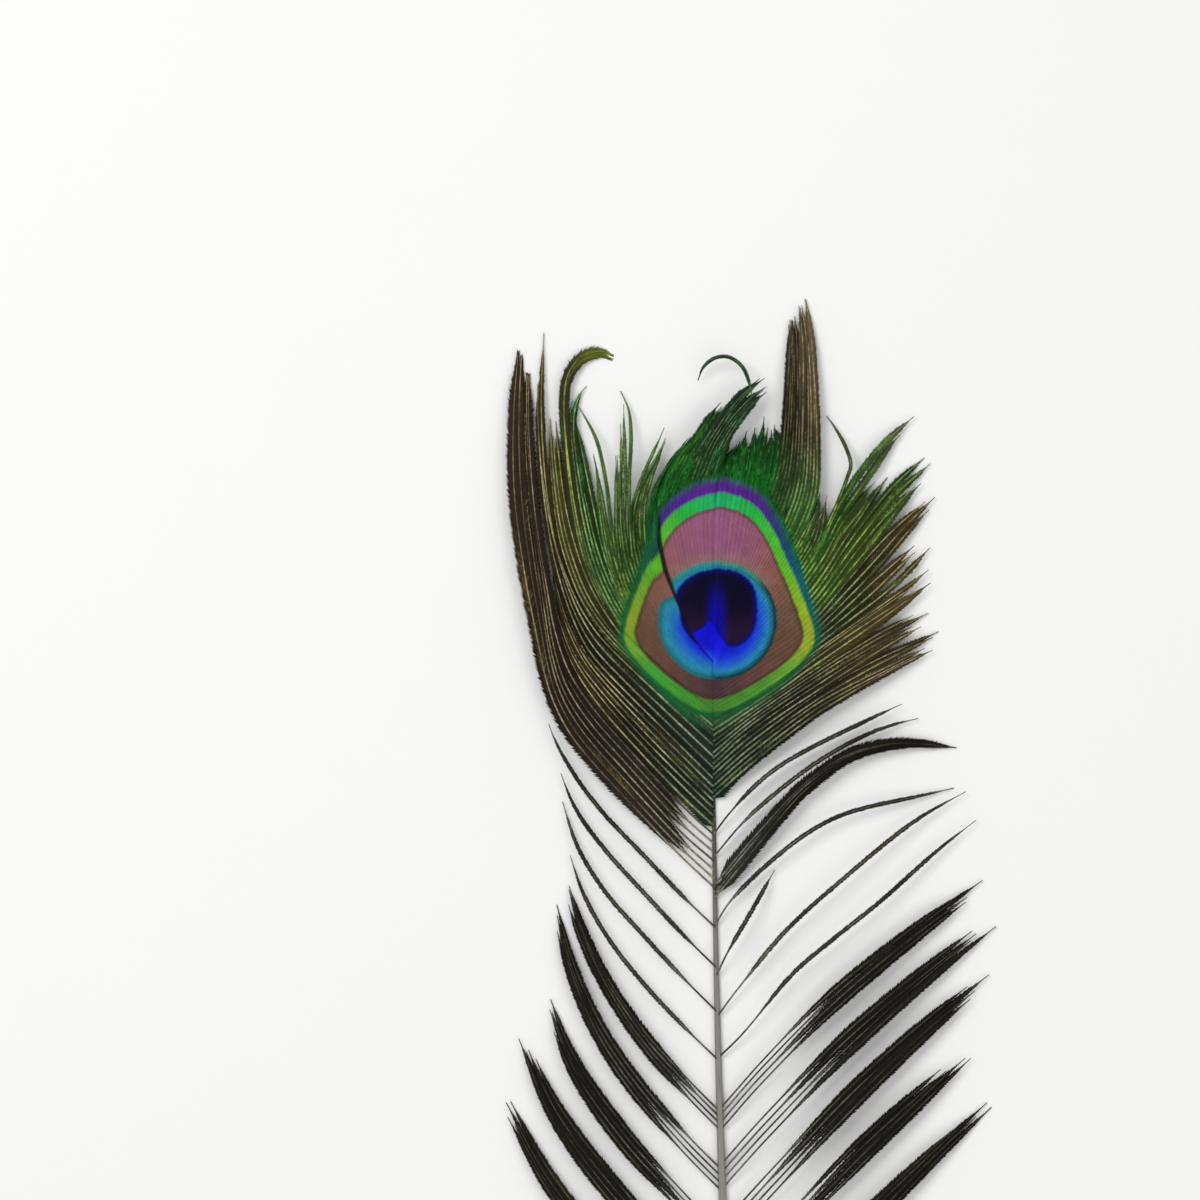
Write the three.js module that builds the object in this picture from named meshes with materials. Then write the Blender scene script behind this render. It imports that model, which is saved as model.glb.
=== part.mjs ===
/*
 * One peacock eye feather, lying flat with its bright face up.
 *
 * Sizes are in millimetres. The drawing is made around the middle of the eye, with +Y towards the
 * feather's tip and +Z up, and the whole group is moved at the end so that the row's origin is the
 * centre of the bottom of its bounding box.
 *
 * The shaft carries the barbs. Around its tip the barbs hold together as the vanes of the eye, and
 * past the eye's rim they part into free locks. Below the eye every lock is free from its root.
 */
import * as THREE from 'three';

/* The shaft, from its cut end to the tip inside the eye. */
const SHAFT_TIP_Y = -6;
const SHAFT_CUT_Y = -174;
const SHAFT_LENGTH = SHAFT_TIP_Y - SHAFT_CUT_Y;
const SHAFT_TIP_RADIUS = 0.25;
const SHAFT_CUT_RADIUS = 1.25;
const SHAFT_TAPER = 1.2;
const SHAFT_BOW = 4.5;
const SHAFT_SEAT = 0.8;
const SHAFT_RINGS = 30;
const SHAFT_SIDES = 14;

/* The barbs. */
const CLEARANCE = 0.3;
const RIM_CLEARANCE = 0.6;
const BLADE_THICKNESS = 0.4;
const ROOT_HEIGHT = 0.85;
const ARCH_HEIGHT = 6;
const TIP_HALF_WIDTH = 0.22;
const BARB_HALF_WIDTH = 0.5;
const LAYER_RAMP = 5;
const TIP_GATHER = 0.85;
const GATHER_FROM = 0.4;
const ROW_LENGTH = 4.8;

const FINISHES = {
  shaft: { color: 0x6b645c, roughness: 0.5, metalness: 0 },
  eye: { color: 0x1c4fb4, roughness: 0.45, metalness: 0.1 },
  fringe: { color: 0x2f6d2c, roughness: 0.5, metalness: 0.1 },
  barbs: { color: 0x2b2a1c, roughness: 0.6, metalness: 0.05 },
};

/*
 * Guide barbs, from the lowest to the one that runs up the middle of the eye. Each is a smooth line
 * through its points, from its root on the shaft to its tip. Every other barb lies between two
 * guides, and is named by a place such as 15.5, half way from guide 15 to guide 16.
 */
const RIGHT_GUIDES = [
  [[4.0, -165], [14, -153], [27, -139], [40, -126], [52, -115]],
  [[3.4, -152], [14, -139], [28, -124], [42, -110], [55, -98]],
  [[2.8, -138], [14, -125], [29, -109.5], [44, -95.5], [57, -84]],
  [[2.3, -125], [13, -113], [28, -97], [43, -83], [58, -71]],
  [[1.8, -112], [12, -100.5], [27, -85], [43, -71], [58, -59.5]],
  [[1.4, -99], [10, -89], [24, -75], [40, -62], [56, -50.5]],
  [[1.1, -87], [6.4, -81.6], [15.4, -70.6], [23.4, -63.6], [33.4, -55.6], [45, -45.4], [56, -37]],
  [[1.0, -78.6], [5.4, -72.6], [14.4, -61.6], [25.4, -51.6], [39.8, -40], [54, -32]],
  [[0.7, -70.6], [3.0, -65.6], [7.4, -58], [12.4, -49.4]],
  [[0.4, -60.6], [3.4, -55.8], [9.4, -49.6], [17.4, -43], [24.4, -39], [31.4, -36.8], [41, -34.8],
    [49, -33]],
  [[0.3, -55.6], [6.4, -48], [15.4, -36.8], [20.4, -32], [27.4, -27.2], [34, -25.4], [41, -25.2],
    [50, -27]],
  [[0.1, -47], [5.4, -40.6], [11.4, -35], [19.4, -28.8], [27.4, -24], [35, -20.8], [44, -18.6]],
  [[0.1, -42.4], [3.4, -38], [8.4, -32.6], [13.4, -28.6], [20, -24.8], [27.4, -21.2], [35, -17.6],
    [44, -13.6]],
  [[0, -35.6], [7.4, -29], [17.4, -21], [23.4, -17], [33.4, -11.8], [46, -6]],
  [[0, -27], [6.2, -21.4], [13.4, -16.2], [20.5, -11.6], [27.2, -7.4], [34.2, -3.4], [46, 2.4]],
  [[0, -18.6], [7.4, -14.6], [15.4, -9.4], [20.4, -5.4], [27.4, -0.2], [34, 4.8], [41, 10.5],
    [48, 17]],
  [[0, -14], [8, -8], [14.5, -3.5], [20, 0.9], [26, 8], [31.8, 15], [37.4, 22], [44, 28.5]],
  [[0, -11], [6, -4], [12, 2.5], [17, 8], [21.5, 14.5], [25, 21.5], [30, 28.5], [36, 36], [42, 41.5]],
  [[0, -9], [4.5, -1], [10, 7], [15.5, 14], [19, 20.4], [20.8, 26.4], [21, 36], [20.8, 45], [20, 57],
    [18.6, 66]],
  [[0, -7.8], [3.5, 4], [7.4, 15], [10.6, 23.4], [13.2, 32.4], [14.4, 44.4], [14.8, 56.4],
    [14.2, 65]],
  [[0, -6.8], [1.8, 0], [3.5, 10], [5.4, 22], [7.2, 30], [8.8, 37]],
  [[0.1, -5.4], [0.3, 10], [0.5, 24], [1.3, 34], [3.4, 43]],
];
const LEFT_GUIDES = [
  [[4.0, -165], [-7, -153], [-20, -139], [-32, -124], [-42, -108]],
  [[3.4, -152], [-8, -140], [-21, -126], [-33, -111], [-42, -95]],
  [[2.8, -138], [-8, -127], [-21, -113], [-32, -98], [-39, -82]],
  [[2.3, -125], [-7, -115], [-18, -103], [-28, -89], [-34.5, -73]],
  [[1.8, -112], [-6, -104], [-15, -93.5], [-22.8, -82], [-28.6, -69], [-32, -56]],
  [[1.4, -99], [-5, -92.4], [-13, -83.6], [-20, -73.6], [-25.6, -62.6], [-29.6, -51]],
  [[1.1, -87.6], [-6, -80.6], [-14, -72], [-21, -63], [-26, -54], [-29.4, -44]],
  [[0.9, -78], [-6, -71], [-14, -62.4], [-21.4, -54], [-27, -45], [-30.4, -35]],
  [[0.6, -69], [-6, -62.4], [-14, -53.8], [-21.6, -45.4], [-27.6, -37], [-31.6, -27]],
  [[0.4, -61], [-6, -54.8], [-14, -46.4], [-22, -38], [-28, -30], [-32.4, -21.6], [-34.8, -12]],
  [[0.3, -54], [-7, -47], [-15, -38.6], [-23, -30], [-29, -22.4], [-32.8, -14], [-35, -4],
    [-37.6, 10], [-39.6, 26], [-39.8, 42], [-38.8, 58]],
  [[0.1, -46.8], [-5.3, -42.2], [-10.2, -37.1], [-18, -28.4], [-24.6, -21], [-29.4, -13.6],
    [-32, -5.6], [-33.6, 4.4], [-35.8, 20], [-37.2, 38], [-37, 56]],
  [[0, -38], [-6, -32.2], [-14, -24], [-22, -15], [-27.6, -7], [-31, 2], [-32.8, 11], [-34.4, 20],
    [-35.6, 30], [-36.3, 44], [-36, 57.5]],
  [[0, -31.5], [-9.1, -22.4], [-18.3, -13.2], [-24.4, -6.4], [-28, 0.6], [-30.6, 8.4], [-32.6, 17],
    [-34.4, 30], [-35.4, 46], [-35, 59]],
  [[0, -22.6], [-12.7, -11], [-20.3, -3.7], [-24, 0.8], [-26.9, 5.6], [-30, 13.3], [-31.8, 20.4],
    [-33.2, 30.4], [-33.8, 42], [-33, 56]],
  [[0, -18.6], [-10, -10], [-17.4, -3.2], [-21, 1.6], [-24.4, 8], [-27, 16], [-28.8, 26], [-30, 38],
    [-30.2, 46.5], [-29, 51.4], [-26, 54.6], [-22, 55.4], [-19.2, 54.2]],
  [[0, -14], [-9, -7.4], [-14.8, -1.6], [-18.6, 4.4], [-21.6, 11], [-23.8, 18], [-25.8, 27],
    [-27.2, 36], [-28.4, 44]],
  [[0, -11], [-8.4, -4.6], [-13.4, 0], [-16.8, 5], [-18.8, 10.6], [-20, 17], [-21, 24], [-22.4, 31]],
  [[0, -9], [-6.4, -1.6], [-10.6, 4.6], [-13.6, 11], [-15, 17], [-14.8, 22.6], [-13, 28],
    [-10.4, 33.4]],
  [[0, -7.8], [-4.4, -2.4], [-7.4, 4.6], [-9.8, 11.4], [-10.9, 18.2], [-10.6, 24], [-8, 31],
    [-3, 38.4], [1, 43.6]],
  [[0, -6.8], [-1.8, 0], [-3.2, 8], [-4.6, 16], [-5.4, 22], [-4.8, 28], [-2, 34.6], [2, 40.6], [6, 45.6],
    [10, 49]],
  [[-0.1, -5.4], [-0.2, 8], [-0.3, 18], [0, 26], [1.6, 33], [4.4, 38.6], [8.4, 43.4], [12.6, 46.4]],
];

/* Where the guides from 15 up cross the rim of the eye, as fractions of their length. */
const FIRST_EYE_GUIDE = 15;
const RIGHT_RIM = [0.38, 0.4, 0.4, 0.36, 0.46, 0.79, 0.72];
const LEFT_RIM = [0.26, 0.36, 0.46, 0.54, 0.57, 0.58, 0.61];

/* The vanes of the eye: name, side, first place, last place. The left vane is split along a barb. */
const VANES = [
  ['eye_vane_right', 'right', 15, 21],
  ['eye_vane_left_upper', 'left', 19, 21],
  ['eye_vane_left_lower', 'left', 15, 19],
];

/*
 * Free locks past the eye's rim: name, side, first place, last place, reach as a fraction of the
 * guides' length, layer height, tip height.
 */
const FRINGE_LOCKS = [
  ['fringe_right_1', 'right', 15.05, 15.5, 0.92, 0, 0.2],
  ['fringe_right_2', 'right', 15.5, 16, 1, 0, 0.2],
  ['fringe_right_3', 'right', 16, 16.45, 1, 0, 0.2],
  ['fringe_right_4', 'right', 16.45, 16.85, 0.84, 0, 0.2],
  ['tall_lock_right', 'right', 16.85, 17.2, 1, 0, 0.2],
  ['fringe_right_5', 'right', 17.2, 18, 0.56, 0, 1.2],
  ['vertical_lock_outer', 'right', 18, 18.5, 1, 0, 0.2],
  ['vertical_lock_inner', 'right', 18.5, 19, 0.97, 0, 0.2],
  ['fringe_top_right_1', 'right', 19, 19.8, 0.8, 0, 1.2],
  ['fringe_top_right_2', 'right', 19.8, 20.95, 1, 0, 0.6],
  ['curled_lock', 'left', 15, 15.25, 1, 0, 0.2],
  ['fringe_left_1', 'left', 15.25, 15.8, 0.8, 0, 0.2],
  ['fringe_left_2', 'left', 15.8, 16.4, 0.88, 0, 0.2],
  ['fringe_left_3', 'left', 16.4, 17, 0.62, 0, 0.8],
  ['fringe_left_4', 'left', 17, 17.6, 0.85, 0, 0.8],
  ['fringe_left_5', 'left', 17.6, 18.3, 0.8, 0, 0.8],
  ['fringe_left_6', 'left', 18.3, 19, 0.85, 0, 0.8],
  ['top_lock_1', 'left', 19, 19.7, 0.95, 1.8, 1.6],
  ['top_lock_2', 'left', 19.7, 20.35, 1, 1.8, 1.6],
  ['top_lock_3', 'left', 20.35, 21, 1, 1.8, 1.6],
];

/* Locks that are free from their roots on the shaft: name, side, first place, last place, reach. */
const SHAFT_LOCKS = [
  ['loose_lock_right_1', 'right', 13, 13.65, 1],
  ['loose_lock_right_2', 'right', 13.65, 14.3, 0.96],
  ['loose_lock_right_3', 'right', 14.3, 14.95, 1],
  ['thick_lock_right', 'right', 10, 10.4, 1],
  ['sweep_lock_1', 'left', 10, 10.5, 1],
  ['sweep_lock_2', 'left', 10.5, 11, 0.97],
  ['sweep_lock_3', 'left', 11, 11.6, 0.95],
  ['sweep_lock_4', 'left', 11.6, 12.25, 0.56],
  ['sweep_lock_5', 'left', 12.25, 12.9, 0.6],
  ['sweep_lock_6', 'left', 12.9, 13.9, 1],
  ['sweep_lock_7', 'left', 13.9, 14.9, 0.8],
  ['lower_lock_right_1', 'right', 4.75, 5.2, 1],
  ['lower_lock_right_2', 'right', 3.85, 4.35, 0.97],
  ['lower_lock_right_3', 'right', 2.95, 3.45, 1],
  ['lower_lock_right_4', 'right', 2, 2.5, 0.96],
  ['lower_lock_right_5', 'right', 0.9, 1.4, 1],
  ['lower_lock_left_1', 'left', 4.75, 5.15, 1],
  ['lower_lock_left_2', 'left', 3.8, 4.25, 1],
  ['lower_lock_left_3', 'left', 2.8, 3.25, 0.97],
  ['lower_lock_left_4', 'left', 1.8, 2.3, 1],
  ['lower_lock_left_5', 'left', 0.7, 1.2, 1],
];

/* Single barbs below the eye, far enough apart to show one by one: name, side, place, reach. */
const LONG_BARBS = [
  ['long_barb_right_1', 'right', 12, 1],
  ['long_barb_right_2', 'right', 11, 1],
  ['long_barb_right_3', 'right', 9, 1],
  ['short_barb_right', 'right', 8, 1],
  ['long_barb_right_4', 'right', 7, 1],
  ['long_barb_right_5', 'right', 6, 1],
  ['long_barb_left_1', 'left', 9, 1],
  ['long_barb_left_2', 'left', 8, 1],
  ['long_barb_left_3', 'left', 7, 1],
  ['long_barb_left_4', 'left', 6, 1],
];

/* Stray barbs that lie over the others: name, finish, points from root to tip with their heights. */
const STRAY_BARBS = [
  ['stray_barb_left_1', 'fringe', [[-19.2, 12, 5], [-20.4, 20, 4.8], [-21.4, 28, 4.2],
    [-23.2, 36, 3.2], [-26, 41.6, 1.6], [-27, 43, 1.2]]],
  ['stray_barb_left_2', 'fringe', [[-16.2, 13, 5], [-16.7, 20, 4.8], [-16.8, 28.4, 4.2],
    [-16.4, 36.4, 3], [-16.8, 42, 1.6], [-18.4, 46, 0.8]]],
  ['hooked_barb_right', 'fringe', [[22.4, 18.6, 5], [24.8, 24, 4.6], [26.6, 28.6, 4],
    [27.4, 31.6, 3.4], [26.2, 35.4, 2.4], [24.2, 39, 1.4], [22.8, 41, 0.8]]],
  ['curled_barb_top', 'barbs', [[7.6, 45, 5.2], [7, 48, 5], [5.6, 51, 4.6], [3, 52.8, 4],
    [0.2, 52.6, 3.2], [-2, 50.8, 2.4], [-3, 48.4, 1.6]]],
];

/* Each finish is one material, shared by the pieces that wear it. */
function makeFinish(name) {
  return new THREE.MeshStandardMaterial({ name, ...FINISHES[name] });
}

/* A piece of the feather: a named mesh with a finish of its own. */
function piece(name, geometry, finish) {
  geometry.computeVertexNormals();
  const mesh = new THREE.Mesh(geometry, makeFinish(finish));
  mesh.name = name;
  return mesh;
}

/* How far along the shaft y lies, from 0 at the tip to 1 at the cut. */
function shaftFraction(y) {
  return THREE.MathUtils.clamp((SHAFT_TIP_Y - y) / SHAFT_LENGTH, 0, 1);
}

function shaftCentre(y) {
  return SHAFT_BOW * shaftFraction(y) ** 2;
}

function shaftRadius(y) {
  const growth = shaftFraction(y) ** SHAFT_TAPER;
  return SHAFT_TIP_RADIUS + (SHAFT_CUT_RADIUS - SHAFT_TIP_RADIUS) * growth;
}

/* A turned taper, bent to the shaft's bow, with the flat underside it lies on at z = 0. */
function makeShaft() {
  const profile = [new THREE.Vector2(0, SHAFT_CUT_Y)];
  for (let ring = 0; ring <= SHAFT_RINGS; ring += 1) {
    const y = SHAFT_CUT_Y + (SHAFT_LENGTH * ring) / SHAFT_RINGS;
    profile.push(new THREE.Vector2(shaftRadius(y), y));
  }
  profile.push(new THREE.Vector2(0, SHAFT_TIP_Y));
  const geometry = new THREE.LatheGeometry(profile, SHAFT_SIDES);
  const position = geometry.attributes.position;
  for (let i = 0; i < position.count; i += 1) {
    const y = position.getY(i);
    const height = SHAFT_SEAT * shaftRadius(y) + position.getZ(i);
    position.setXYZ(i, position.getX(i) + shaftCentre(y), y, Math.max(0, height));
  }
  return piece('shaft', geometry, 'shaft');
}

/* A guide as points evenly spaced along its length. */
function evenGuide(points) {
  const line = points.map(([x, y]) => new THREE.Vector3(x, y, 0));
  const curve = new THREE.CatmullRomCurve3(line, false, 'catmullrom', 0.5);
  return { points: curve.getSpacedPoints(100), length: curve.getLength() };
}

const SIDES = {
  right: { guides: RIGHT_GUIDES.map(evenGuide), rim: RIGHT_RIM, sign: 1 },
  left: { guides: LEFT_GUIDES.map(evenGuide), rim: LEFT_RIM, sign: -1 },
};

/* The point a fraction of the way along one guide. */
function guidePoint(guide, fraction) {
  const step = Math.min(fraction * 100, 99.999);
  const index = Math.floor(step);
  return guide.points[index].clone().lerp(guide.points[index + 1], step - index);
}

/* The point a fraction of the way along the barb at a place between two guides. */
function barbPoint(side, place, fraction) {
  const { guides } = SIDES[side];
  const lower = Math.min(Math.floor(place), guides.length - 2);
  const point = guidePoint(guides[lower], fraction);
  return point.lerp(guidePoint(guides[lower + 1], fraction), place - lower);
}

function barbLength(side, place) {
  const { guides } = SIDES[side];
  const lower = Math.min(Math.floor(place), guides.length - 2);
  return THREE.MathUtils.lerp(guides[lower].length, guides[lower + 1].length, place - lower);
}

/* The fraction of its length at which a barb crosses the rim of the eye. */
function rimFraction(side, place) {
  const { rim } = SIDES[side];
  const from = THREE.MathUtils.clamp(place - FIRST_EYE_GUIDE, 0, rim.length - 1);
  const lower = Math.min(Math.floor(from), rim.length - 2);
  return THREE.MathUtils.lerp(rim[lower], rim[lower + 1], from - lower);
}

/* Barbs arch up from the shaft and come down again to the surface at their tips. */
function archHeight(fraction, tipHeight) {
  const rest = 1 - fraction;
  return rest * rest * ROOT_HEIGHT + 2 * rest * fraction * ARCH_HEIGHT
    + fraction * fraction * tipHeight;
}

/* Keeps a point beside the shaft, and on its own side of the eye's middle line. */
function besideShaft(point, side) {
  const { sign } = SIDES[side];
  const onShaft = point.y < SHAFT_TIP_Y + CLEARANCE;
  const inner = shaftCentre(point.y)
    + sign * (onShaft ? shaftRadius(point.y) + CLEARANCE : CLEARANCE / 2);
  if (sign * (point.x - inner) < 0) {
    point.x = inner;
  }
  return point;
}

/*
 * Bends a thin box into a blade: across runs from the blade's left edge to its right as seen from
 * its root, and along runs from root to tip.
 */
function bendBox(across, along, place) {
  const geometry = new THREE.BoxGeometry(1, 1, 1, across, along, 1);
  const position = geometry.attributes.position;
  for (let i = 0; i < position.count; i += 1) {
    const point = place(position.getX(i) + 0.5, position.getY(i) + 0.5);
    position.setXYZ(i, point.x, point.y, point.z + position.getZ(i) * BLADE_THICKNESS);
  }
  return geometry;
}

/* A vane of the eye: every barb between two places, from the shaft out to the eye's rim. */
function makeVane([name, side, first, last]) {
  const mirrored = SIDES[side].sign > 0;
  const across = Math.round((last - first) * 2.5);
  const geometry = bendBox(across, 7, (u, v) => {
    const share = mirrored ? 1 - u : u;
    const placeAlong = THREE.MathUtils.lerp(first, last, share);
    const fraction = v * rimFraction(side, placeAlong);
    const point = barbPoint(side, placeAlong, fraction);
    if (share === 0 || share === 1) {
      const inward = barbPoint(side, placeAlong + (0.5 - share) * 0.02, fraction);
      point.add(inward.sub(point).setLength(Math.min(CLEARANCE / 2, v * CLEARANCE)));
    }
    point.z = archHeight(fraction, 0.2);
    return besideShaft(point, side);
  });
  return piece(name, geometry, 'eye');
}

/* The direction of a barb at a fraction of its length, from its root towards its tip. */
function barbDirection(side, place, fraction) {
  const ahead = barbPoint(side, place, Math.min(1, fraction + 0.01));
  return ahead.sub(barbPoint(side, place, Math.max(0, fraction - 0.01))).normalize();
}

/*
 * A lock of barbs, from its root or from the eye's rim to its tip. Its barbs gather towards the
 * middle one, and it rises by its layer's height once it has left the eye, to pass over the locks
 * that it crosses.
 */
function lockGeometry({ side, first, last, startOf, reach, layer, tipHeight, halfWidth }) {
  const [leftEdge, rightEdge] = SIDES[side].sign > 0 ? [last, first] : [first, last];
  const middle = (first + last) / 2;
  const length = barbLength(side, middle) * (reach - startOf(middle));
  const rows = Math.max(4, Math.round(length / ROW_LENGTH));
  return bendBox(first === last ? 1 : 2, rows, (u, v) => {
    const place = THREE.MathUtils.lerp(leftEdge, rightEdge, u);
    const fraction = THREE.MathUtils.lerp(startOf(middle), reach, v);
    const centre = barbPoint(side, middle, fraction);
    const ownFraction = THREE.MathUtils.lerp(startOf(place), reach, v);
    const offset = barbPoint(side, place, ownFraction).sub(centre);
    const along = barbDirection(side, middle, fraction);
    const across = new THREE.Vector3(along.y, -along.x, 0);
    const gather = 1 - TIP_GATHER * THREE.MathUtils.smoothstep(v, GATHER_FROM, 1);
    const spread = Math.abs(offset.dot(across)) * gather - CLEARANCE / 2;
    const width = halfWidth ?? Math.max(TIP_HALF_WIDTH, spread);
    const narrowed = THREE.MathUtils.lerp(width, Math.min(width, TIP_HALF_WIDTH), v ** 4);
    const point = centre.addScaledVector(along, offset.dot(along) * (1 - v));
    point.addScaledVector(across, (u * 2 - 1) * narrowed);
    point.z = archHeight(fraction / reach, tipHeight)
      + layer * THREE.MathUtils.smoothstep(length * v, 0, LAYER_RAMP);
    return startOf(middle) === 0 ? besideShaft(point, side) : point;
  });
}

function makeFringeLock([name, side, first, last, reach, layer, tipHeight]) {
  const startOf = (place) => rimFraction(side, place) + RIM_CLEARANCE / barbLength(side, place);
  return piece(name, lockGeometry({ side, first, last, startOf, reach, layer, tipHeight }), 'fringe');
}

function makeShaftLock([name, side, first, last, reach]) {
  const lock = { side, first, last, startOf: () => 0, reach, layer: 0, tipHeight: 0.2 };
  return piece(name, lockGeometry(lock), 'barbs');
}

function makeLongBarb([name, side, place, reach]) {
  const lock = { side, first: place, last: place, startOf: () => 0, reach, layer: 0, tipHeight: 0.2,
    halfWidth: BARB_HALF_WIDTH };
  return piece(name, lockGeometry(lock), 'barbs');
}

/* A stray barb follows its own line over the others. */
function makeStrayBarb([name, finish, points]) {
  const line = points.map(([x, y, z]) => new THREE.Vector3(x, y, z));
  const curve = new THREE.CatmullRomCurve3(line, false, 'catmullrom', 0.5);
  const geometry = bendBox(1, 12, (u, v) => {
    const point = curve.getPointAt(v);
    const across = curve.getTangentAt(v);
    across.set(across.y, -across.x, 0).normalize();
    return point.addScaledVector(across, (u * 2 - 1) * THREE.MathUtils.lerp(0.4, 0.22, v));
  });
  return piece(name, geometry, finish);
}

function makeFeather() {
  const feather = new THREE.Group();
  feather.name = 'peacock_feather';
  feather.add(
    makeShaft(),
    ...VANES.map(makeVane),
    ...FRINGE_LOCKS.map(makeFringeLock),
    ...SHAFT_LOCKS.map(makeShaftLock),
    ...LONG_BARBS.map(makeLongBarb),
    ...STRAY_BARBS.map(makeStrayBarb),
  );
  const box = new THREE.Box3().setFromObject(feather);
  const middle = box.getCenter(new THREE.Vector3());
  for (const mesh of feather.children) {
    mesh.geometry.translate(-middle.x, -middle.y, -box.min.z);
  }
  return feather;
}

export default makeFeather();
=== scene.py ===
"""One peacock eye feather, lying face up on a plain pale floor.

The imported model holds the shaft, the vanes of the eye and the locks and barbs at their real places.
Here each of them is made as what it is: barbs, each a thin rib with a row of barbules on both sides.

Drawing units are millimetres around the middle of the eye, with +Y towards the tip and +Z up. Meshes
are written in metres in the row's own frame. A span is a pair of numbers, from and to. A smooth step
over a span rises from 0 at the first to 1 at the second, whichever of them is the larger.
"""

import logging
import math
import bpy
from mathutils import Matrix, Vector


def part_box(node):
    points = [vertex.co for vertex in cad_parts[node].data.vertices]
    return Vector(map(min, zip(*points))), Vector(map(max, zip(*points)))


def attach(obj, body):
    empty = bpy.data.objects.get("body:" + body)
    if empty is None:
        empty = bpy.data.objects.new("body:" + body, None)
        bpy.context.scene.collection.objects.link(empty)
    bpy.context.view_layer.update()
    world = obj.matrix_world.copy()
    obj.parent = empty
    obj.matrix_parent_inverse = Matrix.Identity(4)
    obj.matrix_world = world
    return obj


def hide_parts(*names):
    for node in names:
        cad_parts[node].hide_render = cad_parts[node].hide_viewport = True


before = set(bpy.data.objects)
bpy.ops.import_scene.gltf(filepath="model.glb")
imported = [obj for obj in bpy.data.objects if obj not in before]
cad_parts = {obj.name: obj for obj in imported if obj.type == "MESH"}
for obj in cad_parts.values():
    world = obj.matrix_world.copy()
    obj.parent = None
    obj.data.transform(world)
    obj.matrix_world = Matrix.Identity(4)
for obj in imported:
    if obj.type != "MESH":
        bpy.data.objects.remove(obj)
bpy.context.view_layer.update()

import zlib
from collections.abc import Iterable
from dataclasses import dataclass, field
from enum import Enum

import bpy
import numpy as np
from mathutils import Vector

log = logging.getLogger("peacock_feather")

MM = 0.001
TINY = 1e-9
Array = np.ndarray
Rgb = tuple[int, int, int]
Point = tuple[float, float]
Span = tuple[float, float]
Stops = tuple[tuple[float, Rgb], ...]
Socket = bpy.types.NodeSocket
Value = Socket | float | Rgb


class Side(Enum):
    """The side of the shaft that a barb grows on, seen with the tip up."""

    RIGHT = 1
    LEFT = -1


RIGHT_GUIDES: list[list[Point]] = [
    [(4.0, -165), (14, -153), (27, -139), (40, -126), (52, -115)],
    [(3.4, -152), (14, -139), (28, -124), (42, -110), (55, -98)],
    [(2.8, -138), (14, -125), (29, -109.5), (44, -95.5), (57, -84)],
    [(2.3, -125), (13, -113), (28, -97), (43, -83), (58, -71)],
    [(1.8, -112), (12, -100.5), (27, -85), (43, -71), (58, -59.5)],
    [(1.4, -99), (10, -89), (24, -75), (40, -62), (56, -50.5)],
    [(1.1, -87), (6.4, -81.6), (15.4, -70.6), (23.4, -63.6), (33.4, -55.6), (45, -45.4), (56, -37)],
    [(1.0, -78.6), (5.4, -72.6), (14.4, -61.6), (25.4, -51.6), (39.8, -40), (54, -32)],
    [(0.7, -70.6), (3.0, -65.6), (7.4, -58), (12.4, -49.4)],
    [(0.4, -60.6), (3.4, -55.8), (9.4, -49.6), (17.4, -43), (24.4, -39), (31.4, -36.8), (41, -34.8),
     (49, -33)],
    [(0.3, -55.6), (6.4, -48), (15.4, -36.8), (20.4, -32), (27.4, -27.2), (34, -25.4), (41, -25.2),
     (50, -27)],
    [(0.1, -47), (5.4, -40.6), (11.4, -35), (19.4, -28.8), (27.4, -24), (35, -20.8), (44, -18.6)],
    [(0.1, -42.4), (3.4, -38), (8.4, -32.6), (13.4, -28.6), (20, -24.8), (27.4, -21.2), (35, -17.6),
     (44, -13.6)],
    [(0, -35.6), (7.4, -29), (17.4, -21), (23.4, -17), (33.4, -11.8), (46, -6)],
    [(0, -27), (6.2, -21.4), (13.4, -16.2), (20.5, -11.6), (27.2, -7.4), (34.2, -3.4), (46, 2.4)],
    [(0, -18.6), (7.4, -14.6), (15.4, -9.4), (20.4, -5.4), (27.4, -0.2), (34, 4.8), (41, 10.5),
     (48, 17)],
    [(0, -14), (8, -8), (14.5, -3.5), (20, 0.9), (26, 8), (31.8, 15), (37.4, 22), (44, 28.5)],
    [(0, -11), (6, -4), (12, 2.5), (17, 8), (21.5, 14.5), (25, 21.5), (30, 28.5), (36, 36),
     (42, 41.5)],
    [(0, -9), (4.5, -1), (10, 7), (15.5, 14), (19, 20.4), (20.8, 26.4), (21, 36), (20.8, 45),
     (20, 57), (18.6, 66)],
    [(0, -7.8), (3.5, 4), (7.4, 15), (10.6, 23.4), (13.2, 32.4), (14.4, 44.4), (14.8, 56.4),
     (14.2, 65)],
    [(0, -6.8), (1.8, 0), (3.5, 10), (5.4, 22), (7.2, 30), (8.8, 37)],
    [(0.1, -5.4), (0.3, 10), (0.5, 24), (1.3, 34), (3.4, 43)],
]
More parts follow.
